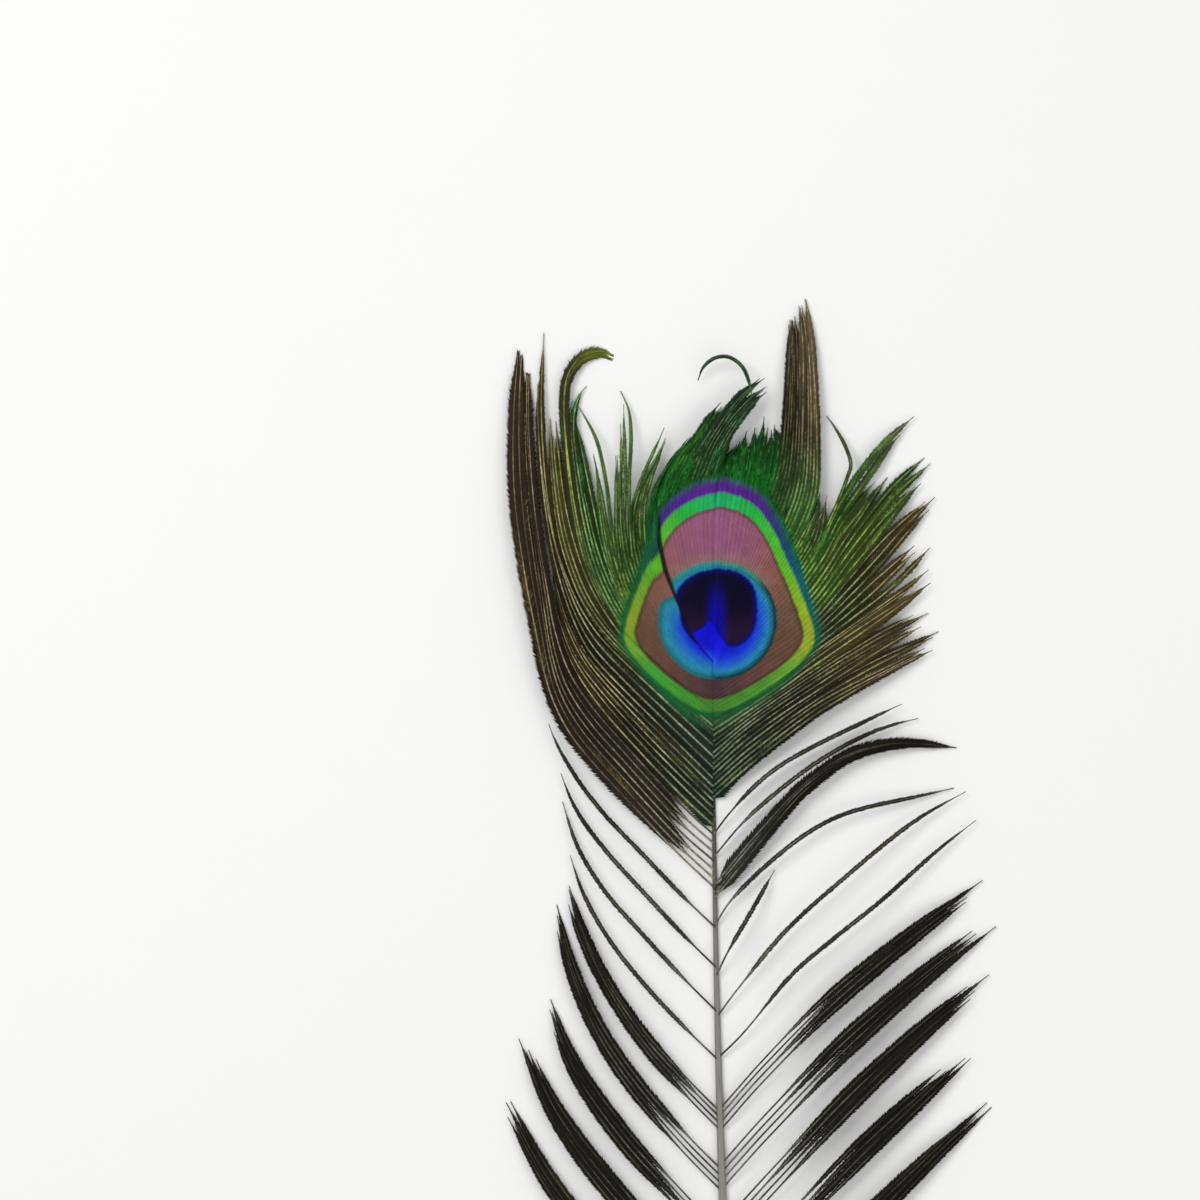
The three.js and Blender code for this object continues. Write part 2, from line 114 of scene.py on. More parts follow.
LEFT_GUIDES: list[list[Point]] = [
    [(4.0, -165), (-7, -153), (-20, -139), (-32, -124), (-42, -108)],
    [(3.4, -152), (-8, -140), (-21, -126), (-33, -111), (-42, -95)],
    [(2.8, -138), (-8, -127), (-21, -113), (-32, -98), (-39, -82)],
    [(2.3, -125), (-7, -115), (-18, -103), (-28, -89), (-34.5, -73)],
    [(1.8, -112), (-6, -104), (-15, -93.5), (-22.8, -82), (-28.6, -69), (-32, -56)],
    [(1.4, -99), (-5, -92.4), (-13, -83.6), (-20, -73.6), (-25.6, -62.6), (-29.6, -51)],
    [(1.1, -87.6), (-6, -80.6), (-14, -72), (-21, -63), (-26, -54), (-29.4, -44)],
    [(0.9, -78), (-6, -71), (-14, -62.4), (-21.4, -54), (-27, -45), (-30.4, -35)],
    [(0.6, -69), (-6, -62.4), (-14, -53.8), (-21.6, -45.4), (-27.6, -37), (-31.6, -27)],
    [(0.4, -61), (-6, -54.8), (-14, -46.4), (-22, -38), (-28, -30), (-32.4, -21.6), (-34.8, -12)],
    [(0.3, -54), (-7, -47), (-15, -38.6), (-23, -30), (-29, -22.4), (-32.8, -14), (-35, -4),
     (-37.6, 10), (-39.6, 26), (-39.8, 42), (-38.8, 58)],
    [(0.1, -46.8), (-5.3, -42.2), (-10.2, -37.1), (-18, -28.4), (-24.6, -21), (-29.4, -13.6),
     (-32, -5.6), (-33.6, 4.4), (-35.8, 20), (-37.2, 38), (-37, 56)],
    [(0, -38), (-6, -32.2), (-14, -24), (-22, -15), (-27.6, -7), (-31, 2), (-32.8, 11), (-34.4, 20),
     (-35.6, 30), (-36.3, 44), (-36, 57.5)],
    [(0, -31.5), (-9.1, -22.4), (-18.3, -13.2), (-24.4, -6.4), (-28, 0.6), (-30.6, 8.4), (-32.6, 17),
     (-34.4, 30), (-35.4, 46), (-35, 59)],
    [(0, -22.6), (-12.7, -11), (-20.3, -3.7), (-24, 0.8), (-26.9, 5.6), (-30, 13.3), (-31.8, 20.4),
     (-33.2, 30.4), (-33.8, 42), (-33, 56)],
    [(0, -18.6), (-10, -10), (-17.4, -3.2), (-21, 1.6), (-24.4, 8), (-27, 16), (-28.8, 26), (-30, 38),
     (-30.2, 46.5), (-29, 51.4), (-26, 54.6), (-22, 55.4), (-19.2, 54.2)],
    [(0, -14), (-9, -7.4), (-14.8, -1.6), (-18.6, 4.4), (-21.6, 11), (-23.8, 18), (-25.8, 27),
     (-27.2, 36), (-28.4, 44)],
    [(0, -11), (-8.4, -4.6), (-13.4, 0), (-16.8, 5), (-18.8, 10.6), (-20, 17), (-21, 24),
     (-22.4, 31)],
    [(0, -9), (-6.4, -1.6), (-10.6, 4.6), (-13.6, 11), (-15, 17), (-14.8, 22.6), (-13, 28),
     (-10.4, 33.4)],
    [(0, -7.8), (-4.4, -2.4), (-7.4, 4.6), (-9.8, 11.4), (-10.9, 18.2), (-10.6, 24), (-8, 31),
     (-3, 38.4), (1, 43.6)],
    [(0, -6.8), (-1.8, 0), (-3.2, 8), (-4.6, 16), (-5.4, 22), (-4.8, 28), (-2, 34.6), (2, 40.6),
     (6, 45.6), (10, 49)],
    [(-0.1, -5.4), (-0.2, 8), (-0.3, 18), (0, 26), (1.6, 33), (4.4, 38.6), (8.4, 43.4), (12.6, 46.4)],
]


def linear(colour: Rgb) -> tuple[float, float, float, float]:
    """Turns a colour from 0 to 255 a channel into the linear values that a shader takes.

    Args:
        colour: Red, green and blue as they look on a screen.

    Returns:
        Linear red, green and blue, and an alpha of 1.
    """
    shares = [channel / 255 for channel in colour]
    low = [s / 12.92 if s <= 0.04045 else ((s + 0.055) / 1.055) ** 2.4 for s in shares]
    return (low[0], low[1], low[2], 1.0)


def smoothstep(value: Array | float, span: Span) -> Array:
    """Eases from 0 at the start of a span to 1 at its end."""
    share = np.clip((value - span[0]) / (span[1] - span[0]), 0, 1)
    return share * share * (3 - 2 * share)


def between(span: Span | tuple[Array, Array], share: Array | float) -> Array:
    """Numbers that lie a share of the way along a span."""
    return span[0] + (span[1] - span[0]) * share


def smooth_line(points: Iterable[Iterable[float]], closed: bool = False, per: int = 24) -> Array:
    """Runs a Catmull-Rom curve through points.

    Args:
        points: Points in two or three dimensions.
        closed: Whether the curve returns to its first point.
        per: Steps between two points.

    Returns:
        The points of the curve.
    """
    knots = np.array([list(p) for p in points], float)
    if closed:
        around = np.vstack([knots[-1:], knots, knots[:2]])
    else:
        around = np.vstack([2 * knots[0] - knots[1], knots, 2 * knots[-1] - knots[-2]])
    t = (np.arange(per) / per)[:, None]
    runs = []
    for a, b, c, d in zip(around[:-3], around[1:-2], around[2:-1], around[3:]):
        bend = (2 * a - 5 * b + 4 * c - d) * t**2 + (3 * b - a - 3 * c + d) * t**3
        runs.append(0.5 * (2 * b + (c - a) * t + bend))
    runs.append(knots[:1] if closed else knots[-1:])
    return np.vstack(runs)


def spaced(line: Array, fractions: Array) -> Array:
    """Points at fractions, from 0 to 1, of the length of a line of points.

    Args:
        line: The line's points.
        fractions: The fractions.

    Returns:
        One point for each fraction.
    """
    steps = np.linalg.norm(np.diff(line, axis=0), axis=1)
    along = np.concatenate([[0.0], np.cumsum(steps)])
    wanted = np.clip(fractions, 0, 1) * along[-1]
    return np.stack([np.interp(wanted, along, axis) for axis in line.T], axis=1)


def length_of(line: Array) -> float:
    """The length of a line of points."""
    return float(np.linalg.norm(np.diff(line, axis=0), axis=1).sum())


def unit(vectors: Array) -> Array:
    """Vectors made one long."""
    return vectors / (np.linalg.norm(vectors, axis=1, keepdims=True) + TINY)


def heading(line: Array) -> tuple[Array, Array]:
    """The directions along a flat line and to its right, at each of its points."""
    along = unit(np.gradient(line, axis=0))
    return along, np.stack([along[:, 1], -along[:, 0]], axis=1)


def polar(points: Array, centre: Point) -> tuple[Array, Array]:
    """The angles of points from the tip's direction, and their distances, seen from a centre."""
    away = points - np.array(centre)
    return np.arctan2(away[:, 0], away[:, 1]), np.hypot(away[:, 0], away[:, 1])


def tube_walls(rows: int, sides: int) -> Array:
    """The four-sided faces between the rings of a tube.

    Args:
        rows: How many rings it has.
        sides: How many points each ring has.

    Returns:
        Four point numbers for each face.
    """
    ring = np.arange(rows - 1)[:, None] * sides
    a = np.arange(sides)[None, :]
    b = (a + 1) % sides
    corners = [ring + a, ring + sides + a, ring + sides + b, ring + b]
    return np.stack(corners, axis=2).reshape(-1, 4)


def new_piece(
    name: str, points: Array, faces: list, smooth_faces: int, numbers: dict[str, Array]
) -> bpy.types.Object:
    """Writes a mesh with its numbers and puts it in the scene.

    Args:
        name: The name of the piece.
        points: Points in metres in the row's frame.
        faces: The point numbers of each face.
        smooth_faces: How many faces, from the first, are shaded smooth.
        numbers: One value for each point under each name.

    Returns:
        The new object.
    """
    mesh = bpy.data.meshes.new(name)
    mesh.from_pydata(points.tolist(), [], faces)
    mesh.polygons.foreach_set("use_smooth", np.arange(len(faces)) < smooth_faces)
    for number, values in numbers.items():
        stored = mesh.attributes.new(number, "FLOAT", "POINT")
        stored.data.foreach_set("value", values.astype(np.float32))
    piece = bpy.data.objects.new(name, mesh)
    bpy.context.scene.collection.objects.link(piece)
    return piece


@dataclass
class BarbPlan:
    """Where every barb of the feather runs, as places between given guide barbs.

    A place such as 15.5 lies half way from guide 15 to guide 16 of its side.

    Attributes:
        rims: The fraction of its length at which each of the eye's guides crosses the rim.
        eye_counts: How many barbs the eye has between each two of its guides.
        arch_height: The height that a barb would arch to if it were pulled all the way up.
        run_on: How many steps back from its tip give the direction in which a barb is lengthened.
        gap_reach: How far to both sides of a place the gap between barbs is measured.
        cover: How far barbules reach across that gap, where 1 is just to the next barb.
    """

    tables: dict[Side, list[list[Point]]] = field(
        default_factory=lambda: {Side.RIGHT: RIGHT_GUIDES, Side.LEFT: LEFT_GUIDES}
    )
    first_eye_guide: int = 15
    rims: dict[Side, list[float]] = field(
        default_factory=lambda: {
            Side.RIGHT: [0.38, 0.4, 0.4, 0.36, 0.46, 0.79, 0.72],
            Side.LEFT: [0.26, 0.36, 0.46, 0.54, 0.57, 0.58, 0.61],
        }
    )
    eye_counts: dict[Side, list[int]] = field(
        default_factory=lambda: {Side.RIGHT: [6, 8, 7, 12, 6, 5], Side.LEFT: [5, 6, 7, 6, 8, 6]}
    )
    root_height: float = 0.85
    arch_height: float = 6.0
    tip_height: float = 0.2
    run_on: int = 5
    gap_reach: float = 0.2
    cover: float = 1.1
    cover_limits: Span = (0.3, 1.7)

    def __post_init__(self) -> None:
        """Spaces every guide evenly along its length."""
        even = np.linspace(0, 1, 101)
        lines = {side: [smooth_line(g) for g in table] for side, table in self.tables.items()}
        self.guides = {s: np.stack([spaced(g, even) for g in run]) for s, run in lines.items()}
        self.lengths = {s: np.array([length_of(g) for g in run]) for s, run in lines.items()}

    def barb(self, side: Side, place: float, fractions: Array) -> Array:
        """Points at fractions of the length of the barb at a place.

        Args:
            side: The side of the shaft.
            place: The barb's place between the guides.
            fractions: Fractions of its length from root to tip. Past 1 it runs straight on.

        Returns:
            One point of two coordinates for each fraction.
        """
        lower = min(int(place), len(self.guides[side]) - 2)
        share = place - lower
        line = self.guides[side][lower] * (1 - share) + self.guides[side][lower + 1] * share
        steps = np.linspace(0, 1, line.shape[0])
        points = np.stack([np.interp(fractions, steps, axis) for axis in line.T], axis=1)
        past = np.maximum(fractions - 1, 0)[:, None] / (steps[-1] - steps[-1 - self.run_on])
        return points + past * (line[-1] - line[-1 - self.run_on])

    def length(self, side: Side, place: float) -> float:
        """The length of the barb at a place."""
        return float(np.interp(place, np.arange(len(self.lengths[side])), self.lengths[side]))

    def rim(self, side: Side, place: float) -> float:
        """The fraction of its length at which a barb crosses the rim of the eye."""
        rim = self.rims[side]
        return float(np.interp(place - self.first_eye_guide, np.arange(len(rim)), rim))

    def meeting(self, side: Side, place: float, fractions: Array) -> Array:
        """How far barbules have to reach, all along a barb of the eye, to meet the next barb's.

        Args:
            side: The side of the shaft.
            place: The barb's place.
            fractions: Fractions of its length.

        Returns:
            Millimetres to the side, one for each fraction.
        """
        low = max(place - self.gap_reach, 0)
        high = min(place + self.gap_reach, len(self.guides[side]) - 1)
        gap = (self.barb(side, high, fractions) - self.barb(side, low, fractions)) / (high - low)
        _, across = heading(self.barb(side, place, fractions))
        apart = np.abs((gap * across).sum(axis=1)) * self.eye_pitch(side, place)
        return np.clip(apart * self.cover, *self.cover_limits)

    def eye_places(self, side: Side, first: float, last: float) -> list[float]:
        """The places of the eye's barbs between two places.

        Args:
            side: The side of the shaft.
            first: The first place.
            last: The last place.

        Returns:
            The places, from the outermost barb to the innermost.
        """
        places = []
        for unit_place, count in enumerate(self.eye_counts[side], self.first_eye_guide):
            places += [unit_place + (k + 0.5) / count for k in range(count)]
        return [p for p in places if first <= p < last]

    def eye_pitch(self, side: Side, place: float) -> float:
        """The part of a place between one barb of the eye and the next."""
        counts = self.eye_counts[side]
        return 1 / counts[min(max(int(place) - self.first_eye_guide, 0), len(counts) - 1)]

    def arch(self, fractions: Array, tip_height: float) -> Array:
        """The height of a barb along its length, up from the shaft and down to its tip.

        Args:
            fractions: Fractions of its length.
            tip_height: The height of its tip.

        Returns:
            Millimetres above the surface, one for each fraction.
        """
        rest = 1 - fractions
        middle = 2 * rest * fractions * self.arch_height
        return rest**2 * self.root_height + middle + fractions**2 * tip_height


@dataclass
class PolarOutline:
    """A closed smooth outline, read as a radius for each direction from a centre."""

    centre: Point
    points: list[Point]

    def __post_init__(self) -> None:
        """Measures the radius of the outline in every direction."""
        angles, radii = polar(smooth_line(self.points, closed=True), self.centre)
        order = np.argsort(angles)
        self.angles = angles[order]
        self.radii = radii[order]

    def radius(self, angles: Array) -> Array:
        """The outline's radius at angles from the tip's direction."""
        return np.interp(angles, self.angles, self.radii, period=2 * math.pi)


@dataclass
class EyePattern:
    """The coloured rings of the eye, as numbers that the finishes turn into colours.

    The glow and the green band's inner edge are shares of its outer edge, and a turn is the angle
    from the tip's direction as a share of half a circle.
    """

    disc_centre: Point = (0.8, 0.35)
    disc_radius: float = 11.6
    green_edge: list[Point] = field(
        default_factory=lambda: [
            (1.1, 25.9), (7.4, 23.9), (11.7, 18.9), (15.0, 11.9), (17.8, 5.3), (20.2, -2.6),
            (18.2, -7.2), (11.9, -12.6), (3.2, -17.4), (-3.4, -17.4), (-11.9, -11.3), (-17.4, -4.6),
            (-17.2, 0.6), (-14.2, 9.0), (-10.7, 18.0), (-6.2, 23.2),
        ]
    )
    green_inner: float = 0.885
    green_low: float = 0.86
    green_turn: Span = (0.6, 0.95)
    glow_width: float = 1.035
    glow_rise: float = 0.055
    glow_top: Span = (0.1, 0.75)
    glow_low: float = 0.1
    glow_bottom: Span = (0.62, 0.95)
    heart_centre: Point = (0.9, 3.0)
    heart_edge: list[Point] = field(
        default_factory=lambda: [
            (0.6, 10.6), (-4.2, 9.2), (-7.1, 5.8), (-7.3, 2.6), (-6.3, -0.4), (-4.6, -2.6),
            (-3.2, -2.1), (-0.6, 0.3), (1.1, -2.4), (3.4, -4.8), (5.9, -4.2), (8.0, -1.6),
            (8.7, 2.6), (8.0, 7.0), (5.0, 9.8),
        ]
    )
    streak_x: float = 0.6

    def __post_init__(self) -> None:
        """Lays out the two drawn outlines."""
        self.green = PolarOutline(self.disc_centre, self.green_edge)
        self.heart = PolarOutline(self.heart_centre, self.heart_edge)

    def fields(self, xy: Array) -> dict[str, Array]:
        """The pattern's numbers at points of the feather.

        Args:
            xy: Points in drawing millimetres.

        Returns:
            inner, outer and glow: millimetres outside the green band's inner edge, its outer edge
            and the end of the glow. turn: 0 towards the tip, 1 towards the root. flank: -1 left to
            1 right. disc: 1 at the disc's edge. heart: millimetres outside the dark heart. streak:
            millimetres right of the heart's blue streak. height: y in millimetres.
        """
        angle, radius = polar(xy, self.disc_centre)
        turn = np.abs(angle) / math.pi
        edge = self.green.radius(angle)
        glow = self.glow_width + self.glow_rise * (1 - smoothstep(turn, self.glow_top))
        glow = glow + self.glow_low * smoothstep(turn, self.glow_bottom)
        inner = between((self.green_inner, self.green_low), smoothstep(turn, self.green_turn))
        heart_angle, heart_radius = polar(xy, self.heart_centre)
        return {
            "inner": radius - edge * inner,
            "outer": radius - edge,
            "glow": radius - edge * glow,
            "turn": turn,
            "flank": np.sin(angle),
            "disc": radius / self.disc_radius,
            "heart": heart_radius - self.heart.radius(heart_angle),
            "streak": xy[:, 0] - self.streak_x,
            "height": xy[:, 1],
        }


@dataclass
class Barb:
    """One barb: a tapering rib along a path, with barbules on both sides.

    Attributes:
        path: Points in drawing millimetres from root to tip.
        barbule: Reach of the barbules to the side, one number for each point of the path.
        rib: Radius of the rib at both ends of the path.
        past: How far along its lock each end of the path is, from 0 to 1.
        chance: A number from 0 to 1 that tells this barb's colour from its neighbours'.
        shift: Millimetres that the eye's pattern is shifted along this barb.
        split_shade_side: The side, 1 or -1, painted dark as shade in the split, or 0 for none.
    """

    path: Array
    barbule: Array
    rib: Span
    past: Span
    chance: float
    shift: float = 0.0
    split_shade_side: int = 0


class Track:
    """A barb cut into even steps, one for each pair of barbules."""

    def __init__(self, barb: Barb, pitch: float) -> None:
        """Cuts up the barb.

        Args:
            barb: The barb.
            pitch: The length of a step.
        """
        length = length_of(barb.path)
        steps = max(4, int(length / pitch))
        self.barb = barb
        self.share = np.linspace(0, 1, steps + 1)
        self.along = self.share * length
        self.path = spaced(barb.path, self.share)
        self.reach = np.interp(self.share, np.linspace(0, 1, len(barb.barbule)), barb.barbule)
        self.past = between(barb.past, self.share)
        self.tangent = unit(np.gradient(self.path, axis=0))
        level = np.stack([self.tangent[:, 1], -self.tangent[:, 0], np.zeros(steps + 1)], axis=1)
        self.across = unit(level)
        self.up = np.cross(self.across, self.tangent)
        run = barb.path[-1, :2] - barb.path[0, :2]
        self.shift = run / (np.linalg.norm(run) + TINY) * barb.shift


@dataclass
class BarbMesh:
    """Gathers the barbs of one piece into one mesh, with the numbers that its finish reads.

    Attributes:
        pitch: The distance between two barbules.
        rib_step: How many barbules there are to one ring of the rib.
        tuft: How many degrees closer to the barb its barbules lie at the tip.
        length_play: How much shorter and longer than its due a barbule may be.
        full_side: The length at which a barbule's number called side is 1 at its tip.
        fleck: How far a barbule's number called chance may differ from its barb's.
        rib_row: Where the rib lies in the barb's row of the map, and how much of it it takes.
        barbule_row: Where the feet of the barbules lie in the row, and how far they reach.
    """

    name: str
    pattern: EyePattern
    offset: Array
    pitch: float = 0.25
    rib_sides: int = 5
    rib_step: int = 3
    lean: float = 40.0
    lean_play: float = 3.0
    tuft: float = 0.0
    tuft_from: Span = (0.8, 1.0)
    base: float = 0.5
    ridge: float = 0.07
    drop: float = 0.22
    floor_gap: float = 0.03
    length_play: Span = (0.06, 0.06)
    full_side: float = 1.6
    fleck: float = 0.011
    rib_row: Span = (0.78, 0.2)
    barbule_row: Span = (0.38, 0.36)

    def __post_init__(self) -> None:
        """Starts the lists that the barbs are added to."""
        self.rng = np.random.default_rng(zlib.crc32(self.name.encode()))
        self.points: list[Array] = []
        self.quads: list[Array] = []
        self.triangles: list[Array] = []
        self.places: list[Array] = []
        self.queries: list[Array] = []
        names = ("rib", "past", "chance", "side", "worn")
        self.numbers: dict[str, list[Array]] = {name: [] for name in names}
        self.count = 0
        self.row = 0

    def keep(self, track: Track, points: Array, places: list[Array], **numbers: Array | float) -> int:
        """Adds points with their pattern places, map places and numbers.

        Args:
            track: The barb that they belong to.
            points: Points in drawing millimetres.
            places: Map places along the barb, and across it in rows.
            **numbers: One value for each point, or one for all, under each name.

        Returns:
            The index of the first of them.
        """
        first = self.count
        self.points.append(points)
        self.queries.append(points[:, :2] + track.shift)
        self.places.append(np.stack(places, axis=1))
        for name, run in self.numbers.items():
            run.append(np.broadcast_to(numbers[name], len(points)))
        self.count += len(points)
        return first

    def add(self, barb: Barb) -> None:
        """Adds a barb's rib and its barbules.

        Args:
            barb: The barb.
        """
        track = Track(barb, self.pitch)
        self.add_rib(track)
        for side in (-1, 1):
            self.add_barbules(track, side)
        self.row += 1

    def add_rib(self, track: Track) -> None:
        """Adds the rib as a closed tapering tube.

        Args:
            track: The barb's track.
        """
        barb, sides = track.barb, self.rib_sides
        last = len(track.path) - 1
        kept = np.unique(np.append(np.arange(0, last + 1, self.rib_step), last))
        radius = between(barb.rib, track.share[kept])[:, None, None]
        around = (np.arange(sides) * 2 * math.pi / sides + math.pi / 2)[None, :, None]
        level = track.across[kept][:, None] * (np.cos(around) * radius)
        upright = track.up[kept][:, None] * (np.sin(around) * radius)
        rings = (track.path[kept][:, None] + level + upright).reshape(-1, 3)
        start, width = self.rib_row
        across_map = self.row + start + width * np.arange(sides) / sides
        first = self.keep(
            track,
            rings,
            [np.repeat(track.along[kept], sides), np.tile(across_map, len(kept))],
            rib=1.0,
            past=np.repeat(track.past[kept], sides),
            chance=barb.chance,
            side=0.0,
            # painted shade of the split, at half strength on the rib
            worn=0.5 * abs(barb.split_shade_side),
        )
        self.quads.append(tube_walls(len(kept), sides) + first)
        fan = np.stack([np.zeros(sides - 2, int), np.arange(1, sides - 1), np.arange(2, sides)], axis=1)
        self.triangles += [fan + first, fan[:, ::-1] + first + (len(kept) - 1) * sides]

    def add_barbules(self, track: Track, side: int) -> None:
        """Adds a row of barbules, each a slim closed sliver with a ridge, leaning to the tip.

        Args:
            track: The barb's track.
            side: 1 for the barb's right side and -1 for its left.
        """
        path, tangent, up, count = track.path, track.tangent, track.up, len(track.path)
        play = self.rng.uniform(-self.lean_play, self.lean_play, count)
        lean = np.radians(self.lean + play - self.tuft * smoothstep(track.share, self.tuft_from))
        shorter, longer = self.length_play
        length = track.reach * self.rng.uniform(1 - shorter, 1 + longer, count) / np.sin(lean)
        run = tangent * np.cos(lean)[:, None] + side * track.across * np.sin(lean)[:, None]
        half = np.minimum(self.base / 2, length * 0.5)[:, None]
        foot = path - up * (self.ridge / 2)
        tip = path + run * length[:, None] - up * (self.drop * np.minimum(length, 1))[:, None]
        tip[:, 2] = np.maximum(tip[:, 2], self.floor_gap)
        feet = [foot - tangent * half, foot + tangent * half, path + up * self.ridge]
        corners = np.stack([*feet, tip], axis=1)
        corners[:, :3, 2] = np.maximum(corners[:, :3, 2], self.floor_gap / 2)
        nought = np.zeros(count)
        lateral = np.minimum(length, self.full_side) / self.full_side
        lateral = np.stack([nought, nought, nought, lateral], axis=1).ravel()
        forward = np.stack([-half[:, 0], half[:, 0], nought, length * np.cos(lean)], axis=1).ravel()
        middle, width = self.barbule_row
        chance = track.barb.chance + self.rng.uniform(-self.fleck, self.fleck, count)
        first = self.keep(
            track,
            corners.reshape(-1, 3),
            [np.repeat(track.along, 4) + forward, self.row + middle + side * width * lateral],
            rib=0.0,
            past=np.repeat(track.past, 4),
            chance=np.repeat(chance, 4),
            side=lateral * side,
            # painted shade of the split, on the barbules that face it
            worn=float(track.barb.split_shade_side == side),
        )
        faces = np.array([[0, 2, 3], [2, 1, 3], [0, 3, 1], [0, 1, 2]])
        faces = faces if side < 0 else faces[:, ::-1]
        each = (np.arange(count) * 4)[:, None, None]
        self.triangles.append((faces[None] + each).reshape(-1, 3) + first)

    def build(self) -> bpy.types.Object:
        """Writes the mesh and its numbers.

        Returns:
            The new object, in metres in the row's frame.
        """
        quads = np.concatenate(self.quads).tolist()
        triangles = np.concatenate(self.triangles).tolist()
        numbers = {name: np.concatenate(run) for name, run in self.numbers.items()}
        numbers |= self.pattern.fields(np.concatenate(self.queries))
        points = (np.concatenate(self.points) + self.offset) * MM
        piece = new_piece(self.name, points, quads + triangles, len(quads), numbers)
        self.map_places(piece.data)
        return piece

    def map_places(self, mesh: bpy.types.Mesh) -> None:
        """Gives the mesh a map with one row for each barb, so that colours run along the barbs.

        Args:
            mesh: The mesh, with all its faces.
        """
        places = np.concatenate(self.places)
        places[:, 0] = (places[:, 0] - places[:, 0].min()) / np.ptp(places[:, 0])
        places[:, 1] /= self.row
        corners = np.empty(len(mesh.loops), np.int32)
        mesh.loops.foreach_get("vertex_index", corners)
        layer = mesh.uv_layers.new(name="OFBake")
        layer.data.foreach_set("uv", places[corners].astype(np.float32).ravel())


class Nodes:
    """A small hand for laying out a material's nodes."""

    def __init__(self, name: str) -> None:
        """Starts a material with only its output and one principled shader.

        Args:
            name: The material's name.
        """
        self.material = bpy.data.materials.new(name)
        self.material.use_nodes = True
        self.tree = self.material.node_tree
        self.tree.nodes.clear()
        self.shader = self.tree.nodes.new("ShaderNodeBsdfPrincipled")
        output = self.tree.nodes.new("ShaderNodeOutputMaterial")
        self.link(self.shader.outputs["BSDF"], output.inputs["Surface"])

    def link(self, source: Socket, target: Socket) -> None:
        """Joins two sockets."""
        self.tree.links.new(source, target)

    def put(self, target: Socket, value: Value) -> None:
        """Sets a socket.

        Args:
            target: The socket.
            value: Another socket, a number or a colour.
        """
        if isinstance(value, bpy.types.NodeSocket):
            self.link(value, target)
        else:
            target.default_value = linear(value) if isinstance(value, tuple) else value

    def set(self, name: str, value: Value) -> None:
        """Sets the shader's socket of a name."""
        self.put(self.shader.inputs[name], value)

    def number(self, name: str) -> Socket:
        """One of the numbers stored on the mesh.

        Args:
            name: Its name.

        Returns:
            The number.
        """
        node = self.tree.nodes.new("ShaderNodeAttribute")
        node.attribute_name = name
        return node.outputs["Fac"]

    def maths(self, operation: str, first: Value, second: Value = 0.0, third: Value = 0.0) -> Socket:
        """One sum, such as MULTIPLY_ADD.

        Args:
            operation: The name of the sum.
            first: The first value or socket.
            second: The second value or socket.
            third: The third value or socket.

        Returns:
            The result.
        """
        node = self.tree.nodes.new("ShaderNodeMath")
        node.operation = operation
        for slot, value in zip(node.inputs, (first, second, third)):
            self.put(slot, value)
        return node.outputs[0]

    def times(self, first: Value, second: Value) -> Socket:
        """The product of two values."""
        return self.maths("MULTIPLY", first, second)

    def across(self, span: Span, share: Value) -> Socket:
        """A number that lies a share of the way across a span."""
        return self.maths("MULTIPLY_ADD", share, span[1] - span[0], span[0])

    def step(self, value: Value, span: Span) -> Socket:
        """A smooth step from 0 at the start of a span to 1 at its end.

        Args:
            value: The socket that is read.
            span: The two values. The first may be the larger.

        Returns:
            The result.
        """
        node = self.tree.nodes.new("ShaderNodeMapRange")
        node.interpolation_type = "SMOOTHSTEP"
        self.put(node.inputs["Value"], value)
        node.inputs["From Min"].default_value = min(span)
        node.inputs["From Max"].default_value = max(span)
        node.inputs["To Min"].default_value = float(span[0] > span[1])
        node.inputs["To Max"].default_value = float(span[0] <= span[1])
        return node.outputs[0]

    def ramp(self, value: Value, stops: Stops) -> Socket:
        """A colour read from stops between 0 and 1.

        Args:
            value: The socket to read.
            stops: Places and colours.

        Returns:
            The colour.
        """
        node = self.tree.nodes.new("ShaderNodeValToRGB")
        bar = node.color_ramp
        while len(bar.elements) < len(stops):
            bar.elements.new(0.5)
        for element, (place, colour) in zip(bar.elements, stops):
            element.position = place
            element.color = linear(colour)
        self.put(node.inputs["Fac"], value)
        return node.outputs["Color"]

    def mix(self, share: Value, first: Value, second: Value, blend: str = "MIX") -> Socket:
        """Mixes two colours.

        Args:
            share: How much of the second, a number or a socket.
            first: The first colour or socket.
            second: The second colour or socket.
            blend: How they mix.

        Returns:
            The mixed colour.
        """
        node = self.tree.nodes.new("ShaderNodeMix")
        node.data_type = "RGBA"
        node.blend_type = blend
        colour_sockets = [socket for socket in node.inputs if socket.type == "RGBA"]
        self.put(node.inputs[0], share)
        self.put(colour_sockets[0], first)
        self.put(colour_sockets[1], second)
        return next(socket for socket in node.outputs if socket.type == "RGBA")

    def lit(self, colour: Value, lightness: Socket) -> Socket:
        """A colour made lighter or darker.

        Args:
            colour: The colour or socket.
            lightness: What it is multiplied by, which may be above 1.

        Returns:
            The new colour.
        """
        grey = self.tree.nodes.new("ShaderNodeCombineColor")
        for slot in grey.inputs[:3]:
            self.put(slot, lightness)
        return self.mix(1.0, colour, grey.outputs[0], "MULTIPLY")

    def noise(self, scale: float, detail: float = 2.0, where: Socket | None = None) -> Socket:
        """Noise from 0 to 1.

        Args:
            scale: How fine it is, per metre unless another place is given.
            detail: How many finer layers it has.
            where: The place that it is read at, if not the place on the object.

        Returns:
            The noise.
        """
        node = self.tree.nodes.new("ShaderNodeTexNoise")
        node.inputs["Scale"].default_value = scale
        node.inputs["Detail"].default_value = detail
        if where is None:
            where = self.tree.nodes.new("ShaderNodeTexCoord").outputs["Object"]
        self.link(where, node.inputs["Vector"])
        return node.outputs["Fac"]

